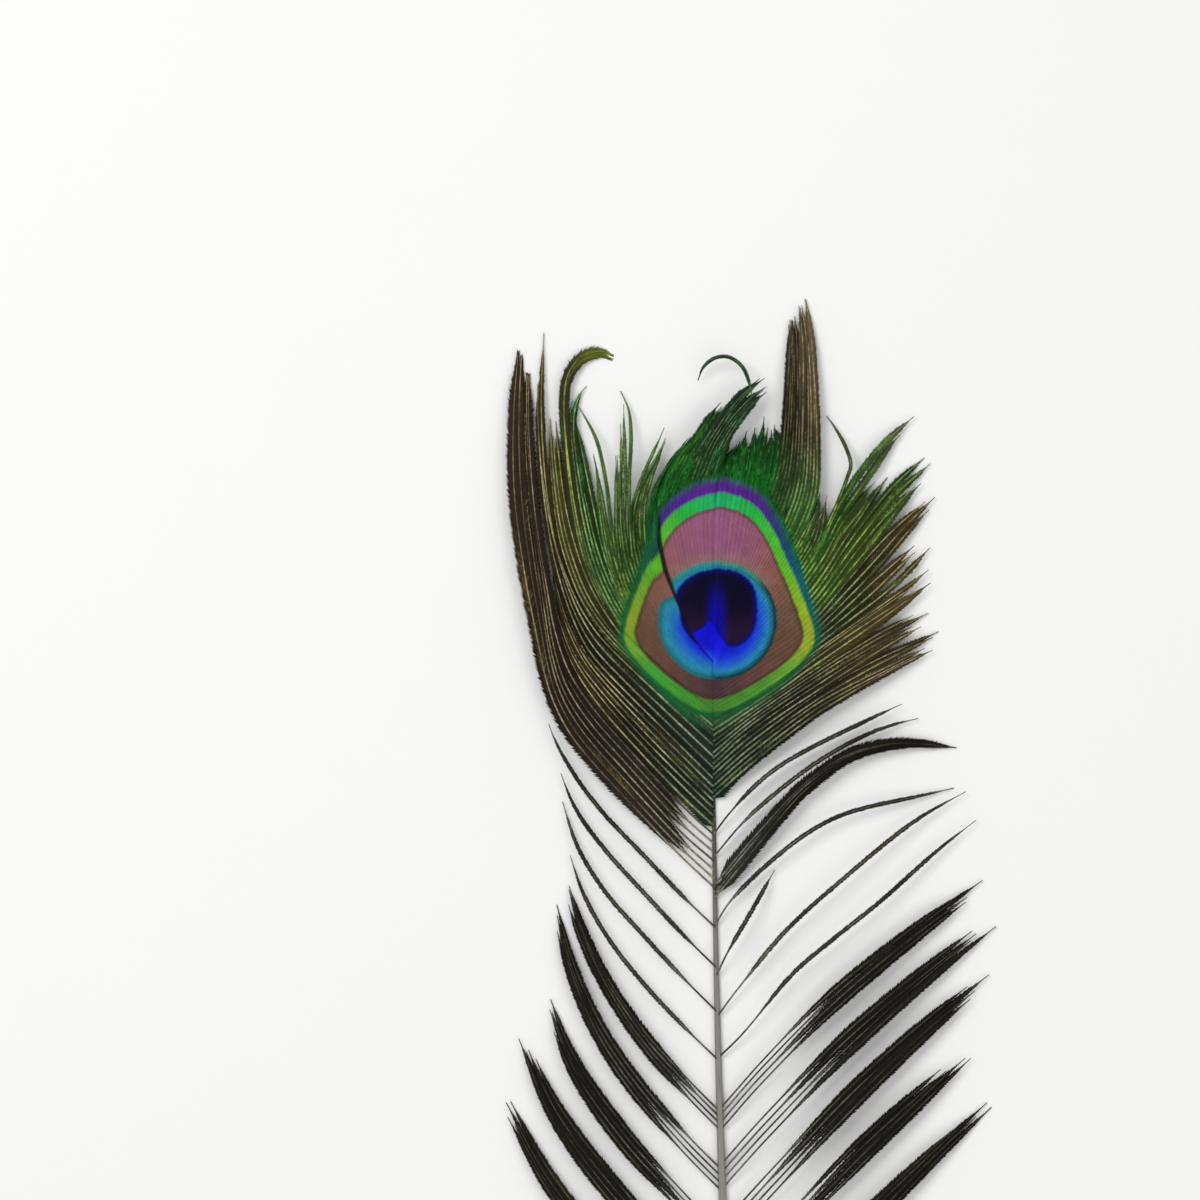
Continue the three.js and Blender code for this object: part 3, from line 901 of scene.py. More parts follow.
    def streaks(self, fineness: Span, side: float = 0.6, detail: float = 3.0) -> Socket:
        """Noise drawn out along each barb, with another draw for each barb.

        Args:
            fineness: How fine it is along the barbs, and from barb to barb.
            side: How fine it is out along the barbules.
            detail: How many finer layers it has.

        Returns:
            The noise.
        """
        node = self.tree.nodes.new("ShaderNodeCombineXYZ")
        for slot, name, scale in zip(node.inputs, ("past", "chance", "side"), (*fineness, side)):
            self.put(slot, self.times(self.number(name), scale))
        return self.noise(1.0, detail, node.outputs[0])

    def bump(self, grain: float, strength: float, depth: float) -> None:
        """Gives the shader a fine uneven surface.

        Args:
            grain: How fine it is, per metre.
            strength: How strongly it shows.
            depth: Its depth in metres.
        """
        node = self.tree.nodes.new("ShaderNodeBump")
        node.inputs["Strength"].default_value = strength
        node.inputs["Distance"].default_value = depth
        self.link(self.noise(grain), node.inputs["Height"])
        self.link(node.outputs["Normal"], self.shader.inputs["Normal"])


@dataclass(frozen=True)
class Tone:
    """The colours of a lock: its barbules from root to tip, its ribs and its glints."""

    near: Rgb
    middle: Rgb
    far: Rgb
    rib_near: Rgb
    rib_far: Rgb
    glint: Rgb
    glint_from: float = 0.55
    turns_at: float = 0.42
    rib_glint: Rgb = (158, 170, 98)
    # How strongly painted shade darkens the barbules towards their tips, between the ribs.
    groove_shade: float = 0.5


class LockTone(Enum):
    """The tones that the locks of the feather wear."""

    EMERALD = Tone((18, 112, 34), (12, 78, 24), (20, 50, 20), (38, 116, 40), (62, 106, 44),
                   (30, 126, 42), 0.55, rib_glint=(60, 146, 54))
    SPRING = Tone((20, 94, 28), (38, 88, 22), (84, 80, 64), (138, 164, 66), (132, 124, 100),
                  (84, 144, 44), 0.55)
    LEAF = Tone((28, 80, 32), (62, 98, 38), (84, 120, 60), (112, 146, 66), (120, 152, 92),
                (110, 146, 54), 0.57, rib_glint=(138, 160, 76), groove_shade=0.85)
    STRIPE = Tone((30, 84, 38), (28, 58, 22), (54, 64, 36), (118, 158, 88), (150, 180, 112),
                  (64, 150, 76), 0.55)
    OLIVE = Tone((18, 78, 28), (54, 70, 16), (40, 62, 28), (150, 168, 82), (128, 156, 96),
                 (94, 130, 44), 0.55)
    BRONZE = Tone((18, 44, 24), (40, 46, 16), (84, 66, 38), (126, 136, 102), (168, 156, 112),
                  (94, 120, 52), 0.57)
    BARK = Tone((26, 108, 44), (52, 44, 30), (104, 88, 66), (112, 146, 72), (156, 138, 112),
                (88, 86, 48), 0.57)
    PEAT = Tone((20, 92, 36), (30, 24, 16), (62, 50, 36), (70, 92, 46), (112, 98, 72),
                (60, 56, 30), 0.57)
    CROWN = Tone((14, 92, 34), (30, 44, 26), (38, 52, 40), (84, 108, 56), (88, 112, 74),
                 (36, 126, 88), 0.55, rib_glint=(70, 160, 120))
    CURL = Tone((30, 76, 32), (52, 50, 30), (114, 124, 42), (118, 134, 84), (164, 174, 84),
                (70, 92, 42), 0.54, 0.84)
    MOSS = Tone((18, 38, 24), (20, 24, 12), (72, 58, 36), (118, 132, 110), (160, 148, 116),
                (100, 128, 50), 0.6)
    SAGE = Tone((26, 54, 34), (40, 42, 16), (82, 80, 32), (122, 136, 112), (176, 174, 118),
                (96, 108, 42), 0.58)
    UMBER = Tone((28, 44, 34), (26, 20, 12), (60, 48, 22), (140, 148, 120), (180, 172, 122),
                 (82, 74, 32), 0.55)
    SMOKE = Tone((44, 42, 34), (30, 21, 14), (50, 38, 26), (142, 136, 122), (150, 136, 102),
                 (92, 76, 36), 0.56)
    ASH = Tone((70, 72, 64), (48, 48, 40), (38, 34, 26), (112, 112, 102), (94, 88, 74),
               (70, 74, 48), 0.62)
    INK = Tone((52, 54, 48), (24, 22, 16), (22, 18, 14), (120, 120, 110), (76, 70, 58),
               (44, 50, 28), 0.6, rib_glint=(104, 104, 72))


@dataclass(frozen=True)
class EyeColours:
    """The colours of the eye's rings, by how far each place is turned from the tip."""

    dome: Stops = ((0.0, (148, 90, 126)), (0.1, (148, 91, 119)), (0.2, (146, 91, 100)),
                   (0.3, (136, 92, 78)), (0.45, (110, 84, 66)), (0.62, (104, 77, 60)),
                   (0.78, (104, 70, 62)), (1.0, (76, 56, 60)))
    band_right: Stops = ((0.0, (36, 174, 108)), (0.1, (40, 176, 68)), (0.2, (80, 182, 54)),
                         (0.3, (100, 182, 46)), (0.42, (134, 178, 44)), (0.5, (158, 174, 44)),
                         (0.6, (144, 164, 50)), (0.68, (104, 160, 54)), (0.82, (78, 146, 52)),
                         (1.0, (74, 130, 50)))
    band_left: Stops = ((0.0, (36, 174, 108)), (0.1, (42, 176, 62)), (0.2, (98, 178, 50)),
                        (0.3, (92, 168, 46)), (0.42, (124, 160, 48)), (0.5, (140, 156, 44)),
                        (0.58, (116, 160, 48)), (0.7, (70, 158, 58)), (0.85, (68, 150, 52)),
                        (1.0, (74, 130, 50)))
    glow_right: Stops = ((0.0, (88, 40, 142)), (0.12, (80, 40, 138)), (0.19, (44, 62, 112)),
                         (0.26, (30, 76, 114)), (0.38, (18, 96, 108)), (0.5, (18, 104, 92)),
                         (0.62, (20, 84, 48)), (1.0, (22, 84, 46)))
    glow_left: Stops = ((0.0, (88, 40, 142)), (0.1, (80, 40, 138)), (0.17, (56, 52, 120)),
                        (0.22, (24, 84, 66)), (0.32, (26, 88, 52)), (0.44, (34, 98, 46)),
                        (0.62, (22, 100, 54)), (1.0, (24, 96, 50)))
    disc: Stops = ((0.0, (14, 12, 196)), (0.5, (18, 22, 204)), (0.66, (24, 52, 208)),
                   (0.8, (36, 100, 196)), (0.89, (43, 132, 174)), (0.94, (32, 112, 134)),
                   (0.975, (18, 82, 94)), (1.0, (22, 58, 64)))
    teal: Rgb = (44, 146, 166)
    crown: Rgb = (66, 150, 128)
    heart: Rgb = (12, 6, 38)
    heart_low: Rgb = (35, 18, 46)
    heart_edge: Rgb = (10, 6, 110)
    streak: Rgb = (9, 8, 156)
    brown_line: Rgb = (66, 52, 30)
    pale_arc: Rgb = (142, 112, 104)


@dataclass(frozen=True)
class EyeSteps:
    """Where one ring of the eye gives way to the next, as spans of the pattern's numbers.

    A share is how strongly the colour that it is named for shows.
    """

    right_side: Span = (-0.15, 0.15)
    pale_arc: Span = (1.3, 1.04)
    pale_arc_turn: Span = (0.42, 0.2)
    pale_arc_share: float = 0.7
    brown_line: Span = (-1.0, -0.2)
    brown_line_share: float = 0.6
    band: Span = (-0.35, 0.4)
    glow: Span = (-0.5, 0.35)
    disc: Span = (1.045, 1.0)
    crown: Span = (0.93, 0.97)
    crown_turn: Span = (0.34, 0.2)
    crown_share: float = 0.85
    teal: Span = (0.5, 0.86)
    teal_side: Span = (0.6, -1.6)
    teal_share: float = 0.45
    heart: Span = (0.45, -0.25)
    heart_low: Span = (4.5, -2.5)
    heart_edge: Span = (-1.4, 0.3)
    streak_side: Span = (2.9, 0.1)
    streak_height: Span = (9.6, 1.0)
    free: Span = (-1.0, 1.4)
    free_rib: Span = (0.4, 1.8)
    free_rib_turn: Span = (0.48, 0.66)


@dataclass(frozen=True)
class BarbFinish:
    """Barbs and barbules: the eye's rings, then the tone of the lock, streaked along the barbs.

    Streaks are given by how fine they are along the barbs and from barb to barb, noise by how fine
    it is per metre, and light by the span that it is multiplied by.
    """

    name: str
    tone: LockTone
    with_eye: bool
    colours: EyeColours = EyeColours()
    steps: EyeSteps = EyeSteps()
    middle_from: float = 0.4
    rib_far_from: float = 0.7
    glint_streaks: Span = (3.5, 37.0)
    glint_width: float = 0.16
    rib_glint_share: float = 0.6
    barb_light: Span = (0.7, 1.3)
    rib_streaks: Span = (6.0, 53.0)
    rib_step: Span = (0.36, 0.62)
    rib_light: Span = (0.3, 1.15)
    bead_grain: float = 1500.0
    bead_step: Span = (0.62, 0.38)
    bead_share: float = 0.6
    bead: Rgb = (132, 126, 112)
    # Painted light and shade in the eye: a little lighter beside the rib, darker at the barbule tips.
    eye_groove_shade: Span = (1.06, 0.64)
    # Painted shade: the near-black colour of the barbules along the split.
    worn: Rgb = (10, 14, 16)
    split_shade_share: float = 0.9
    patch_grain: float = 420.0
    patch_light: Span = (0.75, 1.25)
    fine_streaks: Span = (14.0, 91.0)
    fine_light: Span = (0.62, 1.42)
    rough_grain: float = 2600.0
    rough: Span = (0.4, 0.7)
    gloss: float = 0.08
    bump_grain: float = 5200.0
    bump_strength: float = 0.4
    bump_depth: float = 0.00004

    def eye(self, n: Nodes) -> Socket:
        """Colours the rings of the eye.

        Args:
            n: The material's nodes.

        Returns:
            The colour of the pattern, as far out as the glow.
        """
        c, s = self.colours, self.steps
        inner, turn, disc = n.number("inner"), n.number("turn"), n.number("disc")
        right = n.step(n.number("flank"), s.right_side)
        dome = n.ramp(turn, c.dome)
        arc = n.times(n.step(disc, s.pale_arc), n.step(turn, s.pale_arc_turn))
        dome = n.mix(n.times(arc, s.pale_arc_share), dome, c.pale_arc)
        dome = n.mix(n.times(n.step(inner, s.brown_line), s.brown_line_share), dome, c.brown_line)
        band = n.mix(right, n.ramp(turn, c.band_left), n.ramp(turn, c.band_right))
        colour = n.mix(n.step(inner, s.band), dome, band)
        glow = n.mix(right, n.ramp(turn, c.glow_left), n.ramp(turn, c.glow_right))
        colour = n.mix(n.step(n.number("outer"), s.glow), colour, glow)
        return n.mix(n.step(disc, s.disc), colour, self.disc(n))

    def disc(self, n: Nodes) -> Socket:
        """Colours the blue disc and the dark heart in it.

        Args:
            n: The material's nodes.

        Returns:
            The colour of the disc.
        """
        c, s = self.colours, self.steps
        turn, disc, heart = n.number("turn"), n.number("disc"), n.number("heart")
        height, streak = n.number("height"), n.number("streak")
        rings = n.ramp(disc, c.disc)
        crown = n.times(n.step(turn, s.crown_turn), n.step(disc, s.crown))
        rings = n.mix(n.times(crown, s.crown_share), rings, c.crown)
        teal = n.times(n.step(streak, s.teal_side), n.step(disc, s.teal))
        rings = n.mix(n.times(teal, s.teal_share), rings, c.teal)
        dark = n.mix(n.step(height, s.heart_low), c.heart, c.heart_low)
        dark = n.mix(n.step(heart, s.heart_edge), dark, c.heart_edge)
        aside = n.step(n.maths("ABSOLUTE", streak), s.streak_side)
        dark = n.mix(n.times(aside, n.step(height, s.streak_height)), dark, c.streak)
        return n.mix(n.step(heart, s.heart), rings, dark)

    def lock(self, n: Nodes) -> Socket:
        """Colours the free lock from its root or the rim to its tip.

        Args:
            n: The material's nodes.

        Returns:
            The colour of the barbules and the ribs.
        """
        tone, past = self.tone.value, n.number("past")
        middle = ((self.middle_from, tone.middle), (tone.turns_at, tone.middle))
        base = n.ramp(past, ((0.0, tone.near), *middle, (1.0, tone.far)))
        glint_step = (tone.glint_from, tone.glint_from + self.glint_width)
        glints = n.step(n.streaks(self.glint_streaks), glint_step)
        base = n.mix(glints, base, tone.glint)
        base = n.lit(base, n.across(self.barb_light, n.number("chance")))
        # Painted shade between the ribs.
        base = self.painted_groove_shade(n, base, (1.0, 1.0 - tone.groove_shade))
        rib = n.ramp(past, ((0.0, tone.rib_near), (self.rib_far_from, tone.rib_far)))
        rib = n.mix(n.times(glints, self.rib_glint_share), rib, tone.rib_glint)
        strength = n.step(n.streaks(self.rib_streaks), self.rib_step)
        rib = n.lit(rib, n.across(self.rib_light, strength))
        beads = n.step(n.noise(self.bead_grain, 1.0), self.bead_step)
        dull = n.mix(1.0, rib, self.bead, "MULTIPLY")
        return n.mix(n.number("rib"), base, n.mix(n.times(beads, self.bead_share), rib, dull))

    def painted_groove_shade(self, n: Nodes, colour: Value, light: Span) -> Socket:
        """Paints shade on barbules: darker towards their tips, where they dip between the ribs.

        Args:
            n: The material's nodes.
            colour: The colour to darken.
            light: What it is multiplied by beside the rib, and at a barbule's tip.

        Returns:
            The darkened colour.
        """
        return n.lit(colour, n.across(light, n.maths("ABSOLUTE", n.number("side"))))

    def free(self, n: Nodes) -> Socket:
        """How far each place is past the eye's pattern, where its lock's own tone begins.

        Args:
            n: The material's nodes.

        Returns:
            0 in the eye and 1 past it. Low in the eye, ribs are free sooner than barbules.
        """
        s = self.steps
        ribs = n.times(n.number("rib"), n.step(n.number("outer"), s.free_rib))
        low = n.times(ribs, n.step(n.number("turn"), s.free_rib_turn))
        return n.maths("MAXIMUM", n.step(n.number("glow"), s.free), low)

    def material(self) -> bpy.types.Material:
        """Builds the material.

        Returns:
            The material.
        """
        n = Nodes(self.name)
        colour = self.lock(n)
        if self.with_eye:
            # Painted light and shade across each barb of the eye.
            eye = self.painted_groove_shade(n, self.eye(n), self.eye_groove_shade)
            # Paints shade along the split: the barbules beside it go near black.
            eye = n.mix(n.times(n.number("worn"), self.split_shade_share), eye, self.worn)
            colour = n.mix(self.free(n), eye, colour)
        patches = n.across(self.patch_light, n.noise(self.patch_grain))
        fine = n.across(self.fine_light, n.streaks(self.fine_streaks))
        n.set("Base Color", n.lit(colour, n.times(fine, patches)))
        n.set("Roughness", n.across(self.rough, n.noise(self.rough_grain)))
        n.set("Specular IOR Level", self.gloss)
        n.bump(self.bump_grain, self.bump_strength, self.bump_depth)
        return n.material


@dataclass(frozen=True)
class ShaftFinish:
    """The shaft: grey-brown horn, near black by the eye, with long fine grain."""

    name: str = "shaft_horn"
    horn: Stops = ((0.0, (34, 40, 30)), (0.12, (34, 50, 38)), (0.24, (78, 78, 66)),
                   (0.36, (132, 128, 122)), (1.0, (160, 155, 146)))
    pith: Rgb = (222, 214, 196)
    grain: Rgb = (72, 62, 52)
    grain_streaks: Span = (40.0, 60.0)
    grain_step: Span = (0.35, 0.7)
    grain_share: float = 0.45
    rough: Span = (0.32, 0.52)
    gloss: float = 0.45
    bump_grain: float = 3200.0
    bump_strength: float = 0.3
    bump_depth: float = 0.00005

    def material(self) -> bpy.types.Material:
        """Builds the material.

        Returns:
            The material.
        """
        n = Nodes(self.name)
        body = n.ramp(n.number("past"), self.horn)
        grain = n.step(n.streaks(self.grain_streaks), self.grain_step)
        body = n.mix(n.times(grain, self.grain_share), body, self.grain)
        n.set("Base Color", n.mix(n.number("rib"), body, self.pith))
        n.set("Roughness", n.across(self.rough, grain))
        n.set("Specular IOR Level", self.gloss)
        n.bump(self.bump_grain, self.bump_strength, self.bump_depth)
        return n.material


@dataclass(frozen=True)
class FloorFinish:
    """The plain pale floor."""

    name: str = "pale_floor"
    colour: Rgb = (243, 243, 242)
    patch: Rgb = (225, 225, 224)
    patch_grain: float = 60.0
    patch_share: float = 0.04
    roughness: float = 0.8
    gloss: float = 0.1

    def material(self) -> bpy.types.Material:
        """Builds the material.

        Returns:
            The material.
        """
        n = Nodes(self.name)
        patches = n.times(n.noise(self.patch_grain), self.patch_share)
        n.set("Base Color", n.mix(patches, self.colour, self.patch))
        n.set("Roughness", self.roughness)
        n.set("Specular IOR Level", self.gloss)
        return n.material


@dataclass
class Kit:
    """What every sub-assembly works with: the barbs' plan, the pattern, the frame and finishes."""

    plan: BarbPlan
    pattern: EyePattern
    offset: Array
    finishes: dict[str, bpy.types.Material] = field(default_factory=dict)

    def finish(self, tone: LockTone, with_eye: bool) -> bpy.types.Material:
        """The material of a tone, made once.

        Args:
            tone: The tone.
            with_eye: Whether it also has the rings of the eye.

        Returns:
            The material.
        """
        name = f"{tone.name.lower()}_{'eye' if with_eye else 'free'}_barbs"
        if name not in self.finishes:
            self.finishes[name] = BarbFinish(name, tone, with_eye).material()
        return self.finishes[name]

    def settle(self, piece: bpy.types.Object, node: str) -> None:
        """Makes a piece stand for its node and ride on the feather's one body.

        Args:
            piece: The finished piece.
            node: The node that it stands for.
        """
        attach(piece, "root")
        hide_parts(node)
        log.info("%s: %d faces", piece.name, len(piece.data.polygons))


def chance_of(side: Side, place: float, rate: float = 91.7, turn: float = 13.1) -> float:
    """A number for each barb that is the same in the eye and past its rim.

    Args:
        side: The side of the shaft.
        place: The barb's place.
        rate: How quickly the number changes from place to place.
        turn: What sets one side apart from the other.

    Returns:
        A number from 0 to 1.
    """
    scatter = 43758.5
    return float((math.sin(place * rate + side.value * turn) * scatter) % 1)


@dataclass
class Vane:
    """One vane of the eye: barbs side by side from the shaft out to the rim.

    Where a vane borders the split, its barbs part a little, its pattern slips along the split, and
    the barbules at the very edge are painted near black, as painted shade in the split.

    Attributes:
        split_at: The place of the split, or 0 where there is none.
        opens: The share of a barb over which the split opens.
        dip: How far the outer edge dips under the inner one, for each millimetre that they part.
        slip_spread: How many places away from the split its effect ends.
        seam_from: The place past which barbules reach over the shaft.
        shift_play: How far the pattern differs from barb to barb.
    """

    node: str
    side: Side
    first: float
    last: float
    split_at: float = 0.0
    slip: float = 0.0
    parting: float = 0.0
    opens: Span = (0.25, 0.7)
    dip: float = 1.2
    slip_spread: float = 1.2
    tone: LockTone = LockTone.EMERALD
    rib: Span = (0.09, 0.1)
    seam_from: float = 20.75
    seam_cover: float = 0.45
    shift_play: float = 0.2
    rows: int = 60

    def barb(self, kit: Kit, place: float) -> Barb:
        """One barb of the vane.

        Args:
            kit: What the feather is made with.
            place: The barb's place.

        Returns:
            The barb.
        """
        plan, side = kit.plan, self.side
        rim = plan.rim(side, place)
        fractions = np.linspace(0, rim, self.rows)
        flat = plan.barb(side, place, fractions)
        height = plan.arch(fractions, plan.tip_height)
        reach = plan.meeting(side, place, fractions)
        if place > self.seam_from:
            reach = reach + self.seam_cover
        chance = chance_of(side, place)
        shift = (chance - 0.5) * self.shift_play
        split_shade_side = 0
        if self.split_at:
            away = place - self.split_at
            near = 1 - float(smoothstep(abs(away), (0, self.slip_spread)))
            shift += self.slip * near
            opening = smoothstep(fractions / rim, self.opens) * self.parting * near**3
            _, across = heading(flat)
            flat = flat - across * (side.value * np.sign(away) * opening)[:, None]
            # The barbs right beside the split get painted shade on the side that faces it.
            if abs(away) < plan.eye_pitch(side, place):
                split_shade_side = int(side.value * np.sign(away))
                height = height - opening * (self.dip if away < 0 else 0)
        path = np.column_stack([flat, height])
        return Barb(path, reach, self.rib, (0, 0), chance, shift, split_shade_side)

    def build(self, kit: Kit) -> bpy.types.Object:
        """Builds the vane's mesh.

        Args:
            kit: What the feather is made with.

        Returns:
            The new object.
        """
        mesh = BarbMesh(f"{self.node}_barbs", kit.pattern, kit.offset)
        for place in kit.plan.eye_places(self.side, self.first, self.last):
            mesh.add(self.barb(kit, place))
        return mesh.build()

    def dress(self, kit: Kit, piece: bpy.types.Object) -> None:
        """Gives the vane the eye's finish and settles it."""
        piece.data.materials.append(kit.finish(self.tone, True))
        kit.settle(piece, self.node)


@dataclass
class Lock:
    """Free barbs that gather towards their middle one, from the rim or the shaft to their tips.

    Widths are shares of the barbules' reach. A run is where one turns into the next, in shares of the
    way from the lock's start to its tips, or in millimetres for the layer.

    Attributes:
        count: How many barbs it has. At 0 they are the eye's own.
        layer: How much higher it lies than its neighbours, in millimetres.
        with_eye: Whether the rings of the eye show on a lock from the shaft.
        bare: The share of the lock that stays nearly bare at the root.
        bare_end: Where its barbules begin and are full, as multiples of that.
        taper_length: The millimetres over which a barb comes to its point.
        gather_play: What a barb's own gathering is multiplied by.
        sway_turn: How far round a sway goes from root to tip.
        arch_run: Where the arch of the eye's barbs turns into the lock's own.
        stack: How much higher or lower a barb may lie, in a loose lock and in one fully gathered.
        base: The width of barbules of no length, and of one millimetre.
        tuft: How many degrees closer to the barb they lie at the tip.
    """

    node: str
    side: Side
    first: float
    last: float
    reach: float
    tone: LockTone
    count: int = 0
    layer: float = 0.0
    layer_run: Span = (0.0, 5.0)
    tip_height: float = 0.2
    from_rim: bool = False
    with_eye: bool = False
    bare: float = 0.0
    bare_play: Span = (0.6, 1.5)
    bare_end: Span = (0.3, 1.3)
    bare_width: float = 0.05
    barbule: float = 1.0
    tip_width: float = 0.45
    tip_run: Span = (0.75, 1.0)
    taper_length: float = 5.0
    taper_limits: Span = (0.1, 0.65)
    taper_width: float = 0.25
    root_width: float = 1.6
    root_run: Span = (0.0, 0.12)
    rim_run: Span = (0.02, 0.35)
    gather: float = 0.4
    gather_from: float = 0.5
    gather_play: Span = (0.7, 1.1)
    play: float = 0.35
    sway_run: Span = (0.2, 1.0)
    sway_turn: Span = (2.0, 6.0)
    ragged: float = 0.16
    arch_run: Span = (0.0, 0.3)
    stack: Span = (0.12, 0.42)
    stack_run: Span = (0.0, 0.2)
    lowest: float = 0.12
    fluff: float = 0.22
    fluff_over: float = 0.06
    base: Span = (0.6, 1.0)
    tuft: float = 18.0
    rib: Span = (0.21, 0.09)
    rows: int = 90

    def places(self, kit: Kit) -> list[float]:
        """The places of the lock's barbs.

        Args:
            kit: What the feather is made with.

        Returns:
            The places, from the outermost barb to the innermost.
        """
        if not self.count:
            return kit.plan.eye_places(self.side, self.first, self.last)
        step = (self.last - self.first) / self.count
        return [self.first + (k + 0.5) * step for k in range(self.count)]

    def start(self, kit: Kit, place: float) -> float:
        """The fraction of its length at which a barb of the lock begins."""
        return kit.plan.rim(self.side, place) if self.from_rim else 0.0

    def barb(self, kit: Kit, place: float, rng: np.random.Generator) -> Barb:
        """One barb of the lock.

        Args:
            kit: What the feather is made with.
            place: The barb's place.
            rng: The lock's own draw of chance.

        Returns:
            The barb.
        """
        plan, side, middle = kit.plan, self.side, (self.first + self.last) / 2
        v = np.linspace(0, 1, self.rows)
        own_start = self.start(kit, place)
        end = self.reach - self.ragged * rng.random() * (self.reach - own_start)
        fractions = between((own_start, end), v)
        centre = plan.barb(side, middle, between((self.start(kit, middle), end), v))
        offset = plan.barb(side, place, fractions) - centre
        along, across = heading(centre)
        bare = self.bare * rng.uniform(*self.bare_play)
        gather = self.gather * rng.uniform(*self.gather_play)
        squeeze = 1 - gather * smoothstep(v, (self.gather_from, 1))
        sway = self.play * rng.normal() * smoothstep(v, self.sway_run)
        sway = sway * np.sin(v * rng.uniform(*self.sway_turn))
        sideways = (offset * across).sum(axis=1) * squeeze + sway
        forwards = (offset * along).sum(axis=1) * (1 - v)
        flat = centre + across * sideways[:, None] + along * forwards[:, None]
        height = plan.arch(fractions / self.reach, self.tip_height)
        if self.from_rim:
            vane_height = plan.arch(fractions, plan.tip_height)
            height = between((vane_height, height), smoothstep(v, self.arch_run))
        height = height + self.layer * smoothstep(length_of(centre) * v, self.layer_run)
        stack = between(self.stack, self.gather)
        height = height + rng.uniform(-stack, stack) * smoothstep(v, self.stack_run)
        path = np.column_stack([flat, np.maximum(height, self.lowest)])
        reach = self.barbules(kit, place, fractions, v, bare)
        return Barb(path, reach, self.rib, (0, 1), chance_of(side, place))

    def barbules(self, kit: Kit, place: float, fractions: Array, v: Array, bare: float) -> Array:
        """How far the barbules of one barb reach to the side, all along it.

        Args:
            kit: What the feather is made with.
            place: The barb's place.
            fractions: Fractions of the barb's length.
            v: The same points as shares of the lock.
            bare: How far from its root this barb stays nearly bare.

        Returns:
            Millimetres to the side.
        """
        full = self.barbule * between((1, self.tip_width), smoothstep(v, self.tip_run))
        length = kit.plan.length(self.side, place) * np.ptp(fractions)
        taper = np.clip(self.taper_length / length, *self.taper_limits)
        full = full * between((1, self.taper_width), smoothstep(v, (1 - taper, 1)))
        if bare:
            low, high = self.bare_end
            full = full * between((self.bare_width, 1), smoothstep(v, (bare * low, bare * high)))
        else:
            full = full * between((self.root_width, 1), smoothstep(v, self.root_run))
        if self.from_rim:
            close = kit.plan.meeting(self.side, place, fractions)
            full = between((close, full), smoothstep(v, self.rim_run))
        return full

    def build(self, kit: Kit) -> bpy.types.Object:
        """Builds the lock's mesh.

        Args:
            kit: What the feather is made with.

        Returns:
            The new object.
        """
        mesh = BarbMesh(
            f"{self.node}_barbs", kit.pattern, kit.offset, tuft=self.tuft,
            base=between(self.base, self.barbule), length_play=(self.fluff, self.fluff_over),
        )
        for place in self.places(kit):
            mesh.add(self.barb(kit, place, mesh.rng))
        return mesh.build()

    def dress(self, kit: Kit, piece: bpy.types.Object) -> None:
        """Gives the lock its tone and settles it."""
        piece.data.materials.append(kit.finish(self.tone, self.from_rim or self.with_eye))
        kit.settle(piece, self.node)


@dataclass
class StrayBarb:
    """A single barb that lies over the others along a line of its own.

    Widths are shares of the barbules' reach. A run is the share of the barb where one turns into the
    next.
    """

    node: str
    slot: str
    tone: LockTone
    points: list[tuple[float, float, float]]
    rib: Span = (0.14, 0.06)
    barbule: float = 0.5
    root_width: float = 0.4
    root_run: Span = (0.0, 0.2)
    tip_width: float = 0.4
    tip_run: Span = (0.7, 1.0)
    base: float = 0.6
    rows: int = 40

    def build(self, kit: Kit) -> bpy.types.Object:
        """Builds the barb's mesh.

        Args:
            kit: What the feather is made with.

        Returns:
            The new object.
        """
        mesh = BarbMesh(f"{self.node}_barbs", kit.pattern, kit.offset, base=self.base)
        v = np.linspace(0, 1, self.rows)
        reach = self.barbule * between((1, self.tip_width), smoothstep(v, self.tip_run))
        reach = reach * between((self.root_width, 1), smoothstep(v, self.root_run))
        mesh.add(Barb(smooth_line(self.points), reach, self.rib, (0, 1), mesh.rng.random()))
        return mesh.build()

    def dress(self, kit: Kit, piece: bpy.types.Object) -> None:
        """Gives the barb its tone and settles it."""
        piece.data.materials.append(kit.finish(self.tone, False))
        kit.settle(piece, self.node)


